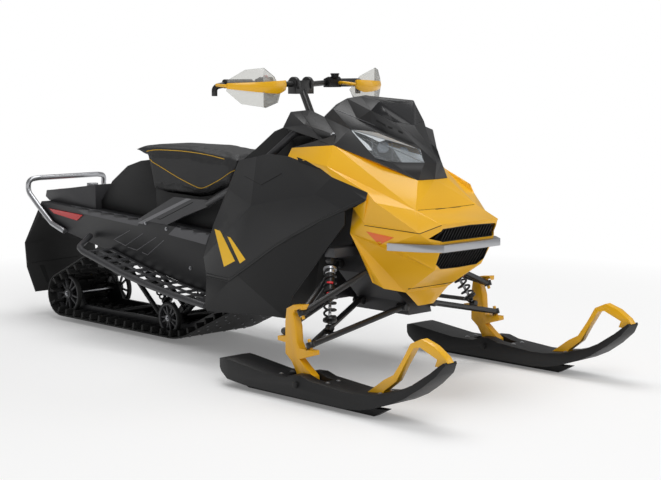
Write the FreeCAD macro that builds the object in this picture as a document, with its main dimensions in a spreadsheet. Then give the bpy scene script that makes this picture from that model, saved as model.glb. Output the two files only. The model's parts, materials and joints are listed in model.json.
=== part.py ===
# Snowmobile: a trail sled with a faceted body, one rubber track and two steered skis.
# Frame: +Z up, front of the sled along -Y, rider's left along +X, millimetres.
# The origin lies on the floor, under the middle of the sled's length and width.
import FreeCAD
import Part
import Sketcher
import math
import os

from FreeCAD import Placement, Rotation, Vector

os.makedirs("parts", exist_ok=True)
doc = FreeCAD.newDocument("Snowmobile")

# Driving dimensions: alias, value in millimetres or degrees, what it is.
SIZES = [
    ("fit_gap", 0.3, "gap between pieces that seat on each other"),
    ("pin_gap", 0.05, "radial gap of a pin in its bore"),
    ("overrun", 10, "how far a cut runs past its face"),
    ("track_width", 381, "rubber track, edge to edge"),
    ("belt_thickness", 6, "rubber belt without its lugs"),
    ("lug_height", 22.5, "lug above the belt"),
    ("lug_thickness", 13, "lug at its tip"),
    ("lug_foot", 22, "lug at the belt"),
    ("lug_pitch", 64, "lug to lug along the belt"),
    ("lug_column_width", 100, "middle column of lugs"),
    ("rear_wheel_radius", 91.5, "rear idler wheel"),
    ("rear_wheel_y", 119, "rear axle ahead of the tunnel's end"),
    ("mid_wheel_radius", 70, "forward idler wheel"),
    ("mid_wheel_y", 425, "forward idler along the sled"),
    ("top_wheel_radius", 66, "upper idler wheel"),
    ("top_wheel_y", 850, "upper idler along the sled"),
    ("top_wheel_z", 300, "upper idler height"),
    ("wheel_gap", 1.2, "between a wheel and the belt round it"),
    ("wheel_width", 22, "idler wheel tread"),
    ("wheel_rim", 12, "idler rim, radially"),
    ("wheel_web", 8, "idler web thickness"),
    ("wheel_hub_radius", 22, "idler hub"),
    ("wheel_window_radius", 15, "hole in an idler's web"),
    ("axle_radius", 10, "idler axle"),
    ("rear_wheel_x", 141, "rear idler, side of the sled"),
    ("mid_wheel_x", 150, "forward idler, side of the sled"),
    ("top_wheel_x", 98, "upper idler, side of the sled"),
    ("sprocket_radius", 88, "drive sprocket"),
    ("sprocket_width", 36, "drive sprocket width"),
    ("sprocket_x", 90, "drive sprocket, side of the sled"),
    ("drive_axle_radius", 16, "drive axle"),
    ("drive_y", -150, "drive axle along the sled"),
    ("drive_z", 340, "drive axle height"),
    ("rail_x", 110, "slide rail, side of the sled"),
    ("rail_thickness", 16, "slide rail across"),
    ("rail_height", 48, "slide rail, top to bottom"),
    ("rail_bend_radius", 300, "front bend of the slide rails"),
    ("rail_bend_y", 383, "where the rails leave the flat"),
    ("rail_rise_length", 260, "sloped front of the rails"),
    ("tunnel_front_y", -340, "front wall of the tunnel"),
    ("tunnel_base_z", 240, "lowest edge of the tunnel"),
    ("tunnel_length", 1640, "tunnel, front to back"),
    ("tunnel_bend_run", 430, "level front stretch of the tunnel's top"),
    ("tunnel_height", 300, "tunnel, low front edge to rear top"),
    ("tunnel_half_width", 200, "tunnel side wall, outer face"),
    ("tunnel_wall", 4, "tunnel sheet"),
    ("front_arm_y", 90, "front suspension arm's upper pivot"),
    ("front_arm_z", 372, "front suspension arm's upper pivot"),
    ("shock_reach", 46, "rear shocks' upper eyes from their arms' pivots, along the sled"),
    ("shock_drop", 22, "rear shocks' upper eyes below their arms' pivots"),
    ("shock_bracket_thickness", 5, "plates at the rear shocks' eyes"),
    ("deck_y", 900, "rear deck's front end"),
    ("deck_z", 520, "rear deck's base line"),
    ("deck_length", 450, "rear deck"),
    ("deck_height", 120, "rear deck"),
    ("deck_half_width", 150, "rear deck"),
    ("flap_y", 0.3, "snow flap's hinge line behind the tunnel's end"),
    ("flap_z", 110, "snow flap's low edge"),
    ("flap_depth", 155.7, "snow flap, front to back"),
    ("flap_height", 440, "snow flap"),
    ("flap_half_width", 196, "snow flap"),
    ("bumper_tube_radius", 12, "rear bumper loop's tube"),
    ("bumper_bend", 60, "rear bumper loop's bends"),
    ("bumper_y", 200, "rear bumper loop's lower front end ahead of the tunnel's end"),
    ("bumper_z", 420, "rear bumper loop's lower front end"),
    ("bumper_length", 290, "rear bumper loop, front to back"),
    ("bumper_height", 225, "rear bumper loop, low to high"),
    ("board_tube_x", 350, "running board's outer tube"),
    ("board_tube_radius", 13, "running board's outer tube"),
    ("board_sheet", 5, "running board plate"),
    ("board_length", 1030, "running board tube, front to back"),
    ("board_rise", 230, "running board tube, low to high end"),
    ("board_front_y", -56, "running board's front end"),
    ("board_z", 229, "running board tube at its front"),
    ("board_slot_length", 46, "hole in the board, along the sled"),
    ("board_slot_pitch", 66, "hole to hole"),
    ("board_bar_width", 16, "bar between the two rows of holes"),
    ("seat_y", 0, "seat's base point along the sled"),
    ("seat_z", 620, "seat's base line"),
    ("seat_length", 700, "seat cushion"),
    ("seat_height", 210, "seat cushion"),
    ("seat_half_width", 140, "seat cushion"),
    ("cover_y", 300, "cover behind the seat, base point"),
    ("cover_z", 520, "cover behind the seat, base line"),
    ("cover_length", 640, "cover behind the seat"),
    ("cover_height", 240, "cover behind the seat"),
    ("cover_half_width", 118, "cover behind the seat"),
    ("tank_y", -330, "fuel tank's front end"),
    ("tank_z", 600, "fuel tank's base line"),
    ("tank_length", 330, "fuel tank"),
    ("tank_height", 330, "fuel tank"),
    ("tank_half_width", 104, "fuel tank"),
    ("strut_thickness", 12, "forged struts"),
    ("spar_radius", 14, "spars from the tunnel to the steering head"),
    ("spar_low_x", 198, "spar at the forged strut"),
    ("spar_low_y", 105, "spar at the forged strut"),
    ("spar_low_z", 608, "spar at the forged strut"),
    ("spar_mid_x", 215, "spar's bend"),
    ("spar_mid_y", -90, "spar's bend"),
    ("spar_mid_z", 690, "spar's bend"),
    ("spar_high_x", 112, "spar's top end"),
    ("collar_radius", 30, "steering post's bearing collar"),
    ("collar_height", 40, "steering post's bearing collar"),
    ("collar_drop", 182, "collar below the handlebar clamp, along the post"),
    ("strut_length", 484, "forged strut, front to back"),
    ("strut_height", 132, "forged strut, tunnel to top"),
    ("strut_y", 88, "forged strut's front end"),
    ("drop_bracket_thickness", 4, "bracket that carries the upper idler"),
    ("drop_bracket_width", 44, "bracket that carries the upper idler"),
    ("drop_bracket_height", 130, "bracket that carries the upper idler"),
    ("footwell_floor_z", 5, "footwell's floor, underside below the panel's front corner"),
    ("footwell_wall_height", 288, "footwell's front wall"),
    ("footwell_wall_lean", 62, "footwell's front wall, how far it leans forwards"),
    ("grille_half_width", 178, "grilles, side reach"),
    ("upper_grille_top_z", 11, "upper grille's top below the nose's lip"),
    ("upper_grille_height", 52, "upper grille"),
    ("lower_grille_top_z", 17, "lower grille's top below the bumper line"),
    ("lower_grille_height", 66, "lower grille"),
    ("grille_reach", 130, "how deep the grille openings are cut"),
    ("grille_depth", 26, "grille, front to back"),
    ("grille_recess", 5, "slats behind the nose's skin"),
    ("grille_thickness", 3, "grilles' frame and backing sheet"),
    ("slat_pitch", 16, "slat to slat"),
    ("slat_width", 4, "slat across"),
    ("slat_slant", 26, "slat's top against its foot"),
    ("control_length", 66, "control block on the bar"),
    ("control_depth", 34, "control block on the bar"),
    ("control_height", 42, "control block on the bar"),
    ("control_x", 150, "control block's inner end"),
    ("lever_length", 130, "brake lever"),
    ("lever_thickness", 7, "brake lever"),
    ("lever_width", 12, "brake lever"),
    ("lever_ahead", 40, "brake lever ahead of the grip"),
    ("ring_outer_radius", 26, "anchor ring on the rear deck"),
    ("ring_bore_radius", 15, "anchor ring's bore"),
    ("ring_height", 16, "anchor ring above the deck"),
    ("ring_floor", 3, "floor of the anchor ring's socket above the deck"),
    ("ring_y", 1178, "anchor ring along the sled"),
    ("reflector_thickness", 4, "red side lamp"),
    ("reflector_y", 330, "red side lamp's front end ahead of the tunnel's end"),
    ("reflector_z", 474, "red side lamp's low edge"),
    ("reflector_length", 264, "red side lamp"),
    ("reflector_height", 40, "red side lamp"),
    ("tail_lamp_half_width", 70, "tail lamp"),
    ("tail_lamp_depth", 16, "tail lamp"),
    ("engine_half_width", 165, "engine block"),
    ("engine_front_y", -680, "engine block's front face"),
    ("engine_length", 340, "engine block"),
    ("engine_base_z", 470, "engine block's underside"),
    ("engine_height", 270, "engine block"),
    ("hull_half_width", 400, "body panels, side scale"),
    ("hull_length", 1000, "body panels, length scale"),
    ("hull_height", 1000, "body panels, height scale"),
    ("panel_thickness", 5, "body panels"),
    ("bumper_bar_depth", 30, "front bumper bar, front to back"),
    ("bumper_bar_height", 26, "front bumper bar, top to bottom"),
    ("module_front_y", -885, "front frame module, front face"),
    ("module_length", 285, "front frame module"),
    ("module_base_z", 255, "front frame module, underside"),
    ("module_height", 215, "front frame module"),
    ("module_base_half_width", 62, "front frame module at its underside"),
    ("module_top_half_width", 160, "front frame module at its top"),
    ("tower_half_width", 308, "shock tower, side reach"),
    ("tower_depth", 60, "shock tower, front to back"),
    ("tower_height", 34, "shock tower"),
    ("ski_x", 505, "ski and spindle, side of the sled"),
    ("spindle_thickness", 30, "spindle, across"),
    ("spindle_y", -900, "spindle's base point"),
    ("spindle_z", 60, "spindle's base line"),
    ("spindle_depth", 240, "spindle, front to back"),
    ("spindle_height", 280, "spindle"),
    ("upper_ball_y", -770, "upper ball joint"),
    ("upper_ball_z", 304, "upper ball joint"),
    ("lower_ball_y", -812, "lower ball joint"),
    ("lower_ball_z", 196, "lower ball joint"),
    ("ball_housing_radius", 15, "arm's eye round the ball stud"),
    ("ball_housing_height", 20, "arm's eye along the stud"),
    ("stud_radius", 6, "ball stud"),
    ("eye_gap", 5, "between the spindle and an arm's eye"),
    ("arm_tube_radius", 11, "suspension arm tube"),
    ("arm_bush_radius", 14, "suspension arm's inner bush"),
    ("arm_bush_length", 44, "suspension arm's inner bush"),
    ("lower_arm_front_y", -850, "lower arm, front pivot"),
    ("lower_arm_rear_y", -629, "lower arm, rear pivot"),
    ("lower_arm_z", 286, "lower arm pivots"),
    ("upper_arm_front_y", -792, "upper arm, front pivot"),
    ("upper_arm_rear_y", -612, "upper arm, rear pivot"),
    ("upper_arm_z", 432, "upper arm pivots"),
    ("shock_top_x", 300, "front shock's upper eye"),
    ("shock_top_y", -701, "front shock's upper eye"),
    ("shock_top_z", 462, "front shock's upper eye"),
    ("shock_low_x", 392, "front shock's lower eye"),
    ("shock_low_z", 240, "front shock's lower eye"),
    ("shock_eye_radius", 13, "shock's end eye"),
    ("shock_body_radius", 20, "shock's body"),
    ("shock_rod_radius", 7, "shock's rod"),
    ("spring_radius", 25, "spring, outer"),
    ("spring_wire_radius", 4, "spring wire"),
    ("tie_ball_y", -680, "tie rod's outer ball"),
    ("tie_ball_radius", 13, "tie rod's ball end"),
    ("tie_rod_radius", 8, "tie rod"),
    ("tie_inner_x", 130, "tie rod's inner ball"),
    ("tie_inner_y", -558, "tie rod's inner ball"),
    ("tie_inner_z", 300, "tie rod's inner ball"),
    ("ski_tip_y", -1456, "ski's front end"),
    ("ski_length", 1083, "ski"),
    ("ski_height", 230, "ski, floor to tip"),
    ("ski_half_width", 66, "ski"),
    ("ski_channel_half_width", 20, "ski's channel for the spindle"),
    ("ski_channel_front_y", -905, "ski's channel, front end"),
    ("ski_channel_length", 190, "ski's channel"),
    ("ski_channel_base_z", 36, "ski's channel floor"),
    ("ski_pivot_y", -808, "ski's pivot bolt"),
    ("ski_pivot_z", 66, "ski's pivot bolt"),
    ("ski_pivot_radius", 7, "ski's pivot bolt"),
    ("ski_bolt_head_radius", 12, "ski's pivot bolt head"),
    ("ski_bolt_head_height", 8, "ski's pivot bolt head"),
    ("keel_half_width", 13, "ski's keel"),
    ("keel_front_y", -1190, "ski's keel, front end"),
    ("keel_length", 690, "ski's keel"),
    ("keel_height", 20, "ski's keel with its runner"),
    ("keel_ramp", 60, "ski's keel, sloped ends"),
    ("loop_half_width", 15, "ski's front loop"),
    ("loop_base_z", 70, "ski loop's base line"),
    ("loop_length", 360, "ski loop"),
    ("loop_height", 220, "ski loop"),
    ("post_top_y", -240, "handlebar clamp on the steering axis"),
    ("post_top_z", 1066, "handlebar clamp on the steering axis"),
    ("post_lean", 28, "steering post, degrees from upright"),
    ("post_length", 330, "steering post"),
    ("post_radius", 15, "steering post"),
    ("bar_radius", 11, "handlebar tube"),
    ("bar_bend", 45, "handlebar's bends"),
    ("bar_centre_x", 60, "straight middle of the handlebar"),
    ("bar_rise_x", 150, "where the bar starts its grip stretch"),
    ("bar_end_x", 385, "end of the bar"),
    ("bar_z", 1088, "middle of the bar"),
    ("bar_y", -232, "middle of the bar"),
    ("bar_grip_y", -196, "bar at the grip"),
    ("bar_end_y", -166, "bar's end"),
    ("bar_grip_z", 1092, "bar at the grip"),
    ("bar_hook_z", 1046, "lower end of the bar's hook"),
    ("grip_radius", 17, "rubber grip"),
    ("grip_length", 125, "rubber grip"),
    ("grip_x", 236, "inner end of the grip"),
    ("clamp_half_width", 48, "handlebar clamp block"),
    ("clamp_depth", 46, "handlebar clamp block"),
    ("clamp_height", 52, "handlebar clamp block"),
    ("guard_inner_x", 185, "hand guard's inner edge"),
    ("guard_outer_x", 412, "hand guard's outer edge"),
    ("guard_front_y", -345, "hand guard's front"),
    ("guard_drop", 30, "hand guard's inner edge behind its front"),
    ("guard_sweep", 80, "hand guard's outer edge behind its front"),
    ("guard_z", 1003, "wind plate's low edge"),
    ("guard_height", 149, "wind plate"),
    ("guard_thickness", 5, "wind plate"),
    ("guard_bar_height", 60, "yellow guard bar"),
    ("guard_bar_thickness", 14, "yellow guard bar"),
]

sheet = doc.addObject("Spreadsheet::Sheet", "Sizes")
for row, (alias, value, meaning) in enumerate(SIZES, start=1):
    sheet.set(f"A{row}", meaning)
    sheet.set(f"B{row}", str(value))
    sheet.setAlias(f"B{row}", alias)
doc.recompute()


class Length:
    """A value from the sheet together with the formula that gives it."""

    def __init__(self, value, formula):
        self.value = value
        self.formula = formula

    def join(self, other, sign, reverse=False):
        other = as_length(other)
        first, second = (other, self) if reverse else (self, other)
        results = {
            "+": lambda a, b: a + b,
            "-": lambda a, b: a - b,
            "*": lambda a, b: a * b,
            "/": lambda a, b: a / b,
        }
        value = results[sign](first.value, second.value)
        return Length(value, f"({first.formula} {sign} {second.formula})")

    def __add__(self, other):
        return self.join(other, "+")

    def __radd__(self, other):
        return self.join(other, "+", reverse=True)

    def __sub__(self, other):
        return self.join(other, "-")

    def __rsub__(self, other):
        return self.join(other, "-", reverse=True)

    def __mul__(self, other):
        return self.join(other, "*")

    def __rmul__(self, other):
        return self.join(other, "*", reverse=True)

    def __truediv__(self, other):
        return self.join(other, "/")

    def __neg__(self):
        return self.join(-1, "*")


def as_length(number):
    """Wrap a plain number, so that it can be part of a formula."""
    return number if isinstance(number, Length) else Length(float(number), f"({number})")


def size(name):
    """A named size with its formula, for properties that are bound to the sheet."""
    return Length(float(sheet.get(name)), f"Sizes.{name}")


def mm(name):
    """A named size as a plain number, for shapes that are worked out here."""
    return float(sheet.get(name))


def bind(target, **lengths):
    """Bind properties of an object to formulas over the sheet."""
    for name, length in lengths.items():
        target.setExpression(name, as_length(length).formula)


def place(target, x=0, y=0, z=0):
    """Bind an object's place to formulas over the sheet."""
    for axis, length in (("x", x), ("y", y), ("z", z)):
        target.setExpression(f"Placement.Base.{axis}", as_length(length).formula)


def feature(label, shape):
    """A sub-part whose shape is worked out from the sheet's values."""
    made = doc.addObject("Part::Feature", label)
    made.Label = label
    made.Shape = shape
    made.Placement = Placement()
    return made


def cylinder(name, radius, height, x=0, y=0, z=0, turn=None):
    """A round bar bound to the sheet, from its base point along its axis."""
    made = doc.addObject("Part::Cylinder", name)
    bind(made, Radius=radius, Height=height)
    if turn is not None:
        made.Placement = Placement(Vector(), turn)
    place(made, x, y, z)
    return made


def block(name, width, depth, height, x, y, z):
    """A box bound to the sheet, from its lowest corner."""
    made = doc.addObject("Part::Box", name)
    bind(made, Length=width, Width=depth, Height=height)
    place(made, x, y, z)
    return made


def fused(label, pieces):
    """One sub-part from several bound pieces."""
    made = doc.addObject("Part::MultiFuse", label)
    made.Label = label
    made.Shapes = pieces
    return made


ALONG_X = Rotation(Vector(0, 1, 0), 90)


def body(label):
    """An empty solid body of the document."""
    made = doc.addObject("PartDesign::Body", label.replace("_", "").title())
    made.Label = label
    return made


def plane(owner, role):
    """One of the body's own origin planes."""
    for candidate in owner.Origin.OriginFeatures:
        if candidate.Role == role:
            return candidate
    raise ValueError(f"no plane {role}")


def sketch(owner, role, name, offset=None):
    """A sketch on one of the body's origin planes."""
    made = owner.newObject("Sketcher::SketchObject", name)
    made.AttachmentSupport = [(plane(owner, role), "")]
    made.MapMode = "FlatFace"
    if offset is not None:
        made.setExpression("AttachmentOffset.Base.z", as_length(offset).formula)
    return made


def draw_outline(target, points):
    """A closed outline of straight edges, every corner bound to the sheet."""
    corners = [Vector(across.value, up.value, 0) for across, up in points]
    first = target.GeometryCount
    count = len(corners)
    for index, corner in enumerate(corners):
        target.addGeometry(Part.LineSegment(corner, corners[(index + 1) % count]), False)
    for index in range(count):
        following = first + (index + 1) % count
        target.addConstraint(Sketcher.Constraint("Coincident", first + index, 2, following, 1))
    for index, (across, up) in enumerate(points):
        for kind, length in (("DistanceX", across), ("DistanceY", up)):
            number = target.addConstraint(
                Sketcher.Constraint(kind, first + index, 1, length.value)
            )
            target.setExpression(f"Constraints[{number}]", length.formula)


def scaled(shares, across, up, across_start=0, up_start=0):
    """Corners from a table of shares and the two sizes that they follow."""
    return [
        (across * share_a + across_start, up * share_b + up_start)
        for share_a, share_b in shares
    ]


def side_pad(owner, name, points, thickness):
    """A plate drawn in side view and thickened evenly to both sides."""
    drawn = sketch(owner, "YZ_Plane", f"{name}Sketch")
    draw_outline(drawn, points)
    pad = owner.newObject("PartDesign::Pad", name)
    pad.Profile = drawn
    pad.Midplane = True
    bind(pad, Length=thickness)
    return pad


def side_pocket(owner, name, points, thickness):
    """A cut drawn in side view that runs evenly to both sides."""
    drawn = sketch(owner, "YZ_Plane", f"{name}Sketch")
    draw_outline(drawn, points)
    pocket = owner.newObject("PartDesign::Pocket", name)
    pocket.Profile = drawn
    pocket.Midplane = True
    bind(pocket, Length=thickness)
    return pocket


def mirrored(shape):
    """The same shape on the other side of the sled."""
    return shape.mirror(Vector(0, 0, 0), Vector(1, 0, 0))


def both_sides(shape):
    """A shape and its mirror image as one."""
    return Part.makeCompound([shape, mirrored(shape)])


def rod(start, end, radius):
    """A round bar between two points."""
    along = end - start
    return Part.makeCylinder(radius, along.Length, start, along)


def bent_path(points, bend):
    """Straight runs joined by tangent arcs."""
    edges = []
    start = points[0]
    for before, corner, after in zip(points, points[1:], points[2:]):
        into = (before - corner).normalize()
        out = (after - corner).normalize()
        half = into.getAngle(out) / 2
        shorter = min((before - corner).Length, (after - corner).Length)
        bend_here = min(bend, shorter * 0.45 * math.tan(half))
        reach = bend_here / math.tan(half)
        middle = corner + (into + out).normalize() * (bend_here / math.sin(half) - bend_here)
        edges.append(Part.LineSegment(start, corner + into * reach).toShape())
        edges.append(Part.Arc(corner + into * reach, middle, corner + out * reach).toShape())
        start = corner + out * reach
    edges.append(Part.LineSegment(start, points[-1]).toShape())
    return Part.Wire(edges)


def pipe(points, radius, bend):
    """A round tube along straight runs and tangent arcs."""
    path = bent_path(points, bend)
    ring = Part.Wire(Part.makeCircle(radius, points[0], points[1] - points[0]))
    return path.makePipeShell([ring], True, False)


def side_prism(points, x_low, x_high):
    """A plate drawn in side view, from one side place to the other."""
    corners = [Vector(x_low, y, z) for y, z in points]
    face = Part.Face(Part.makePolygon(corners + corners[:1]))
    return face.extrude(Vector(x_high - x_low, 0, 0))


def join_all(shapes):
    """One shape from several that touch or overlap."""
    return shapes[0].multiFuse(shapes[1:]).removeSplitter() if len(shapes) > 1 else shapes[0]


# Track: a closed loop round the sprockets and idlers, its lugs in its outline.
belt_inner_z = mm("belt_thickness") + mm("lug_height")
rear_wheel_z = belt_inner_z + mm("rear_wheel_radius")
mid_wheel_z = belt_inner_z + mm("mid_wheel_radius")
rear_axle_y = mm("tunnel_front_y") + mm("tunnel_length") - mm("rear_wheel_y")
loop_circles = [
    (mm("rail_bend_y"), belt_inner_z + mm("rail_bend_radius"), mm("rail_bend_radius")),
    (rear_axle_y, rear_wheel_z, mm("rear_wheel_radius")),
    (mm("top_wheel_y"), mm("top_wheel_z"), mm("top_wheel_radius")),
    (mm("drive_y"), mm("drive_z"), mm("sprocket_radius")),
]


def belt_stretches(circles):
    """Tangent lines and arcs of a belt's inner face, seen from the side."""
    tangents = []
    count = len(circles)
    for index, (y_a, z_a, r_a) in enumerate(circles):
        y_b, z_b, r_b = circles[(index + 1) % count]
        run = math.hypot(y_b - y_a, z_b - z_a)
        heading = math.atan2(z_b - z_a, y_b - y_a)
        normal = heading - math.acos((r_a - r_b) / run)
        side = (math.cos(normal), math.sin(normal))
        tangents.append((side, (y_a, z_a, r_a), (y_b, z_b, r_b), normal))
    return tangents


def belt_point(stretches, distance, offset):
    """A point at a distance along the belt's inner face, moved outwards."""
    for kind, length, data in stretches:
        if distance <= length:
            if kind == "line":
                (y, z), (dy, dz), (ny, nz) = data
                return (y + dy * distance + ny * offset, z + dz * distance + nz * offset)
            (y, z), radius, start = data
            angle = start + distance / radius
            reach = radius + offset
            return (y + math.cos(angle) * reach, z + math.sin(angle) * reach)
        distance -= length
    raise ValueError("distance past the end of the belt")


def belt_course(circles):
    """The belt's inner face as a list of straight and round stretches."""
    tangents = belt_stretches(circles)
    course = []
    for index, (side, here, there, normal) in enumerate(tangents):
        start = (here[0] + side[0] * here[2], here[1] + side[1] * here[2])
        end = (there[0] + side[0] * there[2], there[1] + side[1] * there[2])
        run = math.hypot(end[0] - start[0], end[1] - start[1])
        heading = ((end[0] - start[0]) / run, (end[1] - start[1]) / run)
        course.append(("line", run, (start, heading, side)))
        following = tangents[(index + 1) % len(tangents)][3]
        sweep = (following - normal) % (2 * math.pi)
        course.append(("arc", sweep * there[2], (there[:2], there[2], normal)))
    return course


course = belt_course(loop_circles)
belt_length = sum(length for kind, length, data in course)
lug_count = round(belt_length / mm("lug_pitch"))
lug_step = belt_length / lug_count
arc_step = mm("lug_pitch") / 3


def belt_outline(offset):
    """A closed side view of the belt's face at an offset, round stretches in short chords."""
    points = []
    passed = 0
    for kind, length, data in course:
        steps = 1 if kind == "line" else max(1, round(length / arc_step))
        points += [
            belt_point(course, passed + length * step / steps, offset) for step in range(steps)
        ]
        passed += length
    return points


def lug_outline(position):
    """One lug in side view, from inside the belt to its tip."""
    half_foot = mm("lug_foot") / 2
    half_tip = mm("lug_thickness") / 2
    root = mm("belt_thickness") * 0.5
    tip = mm("belt_thickness") + mm("lug_height")
    places = [(-half_foot, root), (-half_tip, tip), (half_tip, tip), (half_foot, root)]
    return [belt_point(course, (position + along) % belt_length, up) for along, up in places]


def track_column(x_low, x_high, phase):
    """One column of the track: its belt with lugs at their phase of the pitch."""
    outer = side_prism(belt_outline(mm("belt_thickness")), x_low, x_high)
    inner = side_prism(
        belt_outline(0), x_low - mm("overrun"), x_high + mm("overrun")
    )
    lugs = [
        side_prism(lug_outline((number + phase) * lug_step), x_low, x_high)
        for number in range(lug_count)
    ]
    return outer.multiFuse(lugs).cut(inner)


half_track = mm("track_width") / 2
half_column = mm("lug_column_width") / 2
track_shape = join_all([
    track_column(-half_track, -half_column, 0.25),
    track_column(-half_column, half_column, 0.75),
    track_column(half_column, half_track, 0.25),
])
feature("track", track_shape)
print("belt length", round(belt_length), "lugs", lug_count)


# Idler wheels, their axles and the drive axle, all across the sled.
def wheel(radius, centre_x, y, z):
    """A spoked idler: rim, web with windows, and hub."""
    half = mm("wheel_width") / 2
    start = Vector(centre_x - half, y, z)
    across = Vector(1, 0, 0)
    disc = Part.makeCylinder(radius, 2 * half, start, across)
    hollow_radius = radius - mm("wheel_rim")
    side_depth = half - mm("wheel_web") / 2
    for side_start in (start, start + across * (2 * half - side_depth)):
        recess = Part.makeCylinder(hollow_radius, side_depth, side_start, across)
        hub = Part.makeCylinder(mm("wheel_hub_radius"), side_depth, side_start, across)
        disc = disc.cut(recess.cut(hub))
    window_radius = min(
        mm("wheel_window_radius"), (hollow_radius - mm("wheel_hub_radius")) * 0.42
    )
    ring_radius = (hollow_radius + mm("wheel_hub_radius")) / 2
    window_count = 6
    for number in range(window_count):
        angle = 2 * math.pi * number / window_count
        middle = start + Vector(0, ring_radius * math.cos(angle), ring_radius * math.sin(angle))
        disc = disc.cut(Part.makeCylinder(window_radius, 2 * half, middle, across))
    return disc


def wheel_set(label, radius, wheel_x, y, z, axle_half):
    """Two idlers on one axle."""
    axle = rod(Vector(-axle_half, y, z), Vector(axle_half, y, z), mm("axle_radius"))
    wheels = [wheel(radius, side * wheel_x, y, z) for side in (-1, 1)]
    return feature(label, join_all([axle] + wheels))


rail_outer_x = mm("rail_x") + mm("rail_thickness") / 2
rail_inner_x = mm("rail_x") - mm("rail_thickness") / 2
wheel_set(
    "rear_idlers", mm("rear_wheel_radius") - mm("wheel_gap"), mm("rear_wheel_x"), rear_axle_y,
    rear_wheel_z, mm("rear_wheel_x") + mm("wheel_width") / 2,
)
wheel_set(
    "forward_idlers", mm("mid_wheel_radius") - mm("wheel_gap"), mm("mid_wheel_x"), mm("mid_wheel_y"),
    mid_wheel_z, mm("mid_wheel_x") + mm("wheel_width") / 2,
)
tunnel_inner_x = mm("tunnel_half_width") - mm("tunnel_wall")
upper_idlers = wheel_set(
    "upper_idlers", mm("top_wheel_radius") - mm("wheel_gap"), mm("top_wheel_x"), mm("top_wheel_y"),
    mm("top_wheel_z"), tunnel_inner_x - mm("fit_gap"),
)
drop_bracket = Part.makeBox(
    mm("drop_bracket_thickness"), mm("drop_bracket_width"), mm("drop_bracket_height"),
    Vector(
        tunnel_inner_x - mm("fit_gap") - mm("drop_bracket_thickness"),
        mm("top_wheel_y") - mm("drop_bracket_width") / 2,
        mm("top_wheel_z") - mm("drop_bracket_width") / 2,
    ),
)
upper_idlers.Shape = join_all([upper_idlers.Shape, drop_bracket, mirrored(drop_bracket)])

drive_axle = cylinder(
    "DriveShaft", size("drive_axle_radius"),
    2 * (size("tunnel_half_width") - size("tunnel_wall") - size("fit_gap")),
    x=-1 * (size("tunnel_half_width") - size("tunnel_wall") - size("fit_gap")),
    y=size("drive_y"), z=size("drive_z"), turn=ALONG_X,
)
sprockets = [
    cylinder(
        f"Sprocket{number}", size("sprocket_radius") - size("wheel_gap"), size("sprocket_width"),
        x=side * size("sprocket_x") - size("sprocket_width") / 2,
        y=size("drive_y"), z=size("drive_z"), turn=ALONG_X,
    )
    for number, side in enumerate((-1, 1))
]
fused("drive_axle", [drive_axle] + sprockets)

# Slide rails: flat on the belt, then up its sloped front.
bend_centre = (mm("rail_bend_y"), belt_inner_z + mm("rail_bend_radius"))
rise_normal = belt_stretches(loop_circles)[3][3]


def rail_face(offset):
    """The rail's lower face, or its upper face at an offset, from back to front."""
    radius = mm("rail_bend_radius") - offset
    rear = (rear_axle_y, belt_inner_z + offset)
    steps = 6
    low = -math.pi / 2
    sweep = (rise_normal - low + math.pi) % (2 * math.pi) - math.pi
    arc = [
        (
            bend_centre[0] + radius * math.cos(low + sweep * step / steps),
            bend_centre[1] + radius * math.sin(low + sweep * step / steps),
        )
        for step in range(steps + 1)
    ]
    slope = (math.sin(rise_normal), -math.cos(rise_normal))
    nose = (
        arc[-1][0] + slope[0] * mm("rail_rise_length"),
        arc[-1][1] + slope[1] * mm("rail_rise_length"),
    )
    return [rear] + arc + [nose]


rail_profile = rail_face(0) + rail_face(mm("rail_height"))[::-1]
axle_bore = mm("axle_radius") + mm("fit_gap")
rail_plate = side_prism(rail_profile, rail_inner_x, rail_outer_x)
rear_cheek_outline = [
    (rear_axle_y - mm("rail_height") * 2, belt_inner_z + mm("rail_height") / 2),
    (rear_axle_y + mm("rail_height") * 0.5, belt_inner_z + mm("rail_height") / 2),
    (rear_axle_y + mm("rail_height") * 0.5, rear_wheel_z + mm("wheel_hub_radius")),
    (rear_axle_y - mm("rail_height"), rear_wheel_z + mm("wheel_hub_radius")),
]
rear_cheek = side_prism(rear_cheek_outline, rail_inner_x, rail_outer_x)
mid_cheek_outline = [
    (mm("mid_wheel_y") - mm("rail_height"), belt_inner_z + mm("rail_height") / 2),
    (mm("mid_wheel_y") + mm("rail_height"), belt_inner_z + mm("rail_height") / 2),
    (mm("mid_wheel_y") + mm("rail_height") / 2, mid_wheel_z + mm("wheel_hub_radius")),
    (mm("mid_wheel_y") - mm("rail_height") / 2, mid_wheel_z + mm("wheel_hub_radius")),
]
mid_cheek = side_prism(mid_cheek_outline, rail_inner_x, rail_outer_x)
one_rail = join_all([rail_plate, rear_cheek, mid_cheek])
for wheel_y, wheel_z in ((rear_axle_y, rear_wheel_z), (mm("mid_wheel_y"), mid_wheel_z)):
    one_rail = one_rail.cut(rod(
        Vector(rail_inner_x - mm("overrun"), wheel_y, wheel_z),
        Vector(rail_outer_x + mm("overrun"), wheel_y, wheel_z), axle_bore,
    ))
cross_y_shares = (0.22, 0.62)
rail_run = rear_axle_y - mm("rail_bend_y")
rail_cross_z = belt_inner_z + mm("rail_height") - mm("axle_radius")
rail_crosses = [
    rod(
        Vector(-rail_inner_x - 1 * mm("fit_gap"), mm("rail_bend_y") + rail_run * share, rail_cross_z),
        Vector(rail_inner_x + mm("fit_gap"), mm("rail_bend_y") + rail_run * share, rail_cross_z),
        mm("axle_radius"),
    )
    for share in cross_y_shares
]
feature("slide_rails", join_all([one_rail, mirrored(one_rail)] + rail_crosses))

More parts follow.
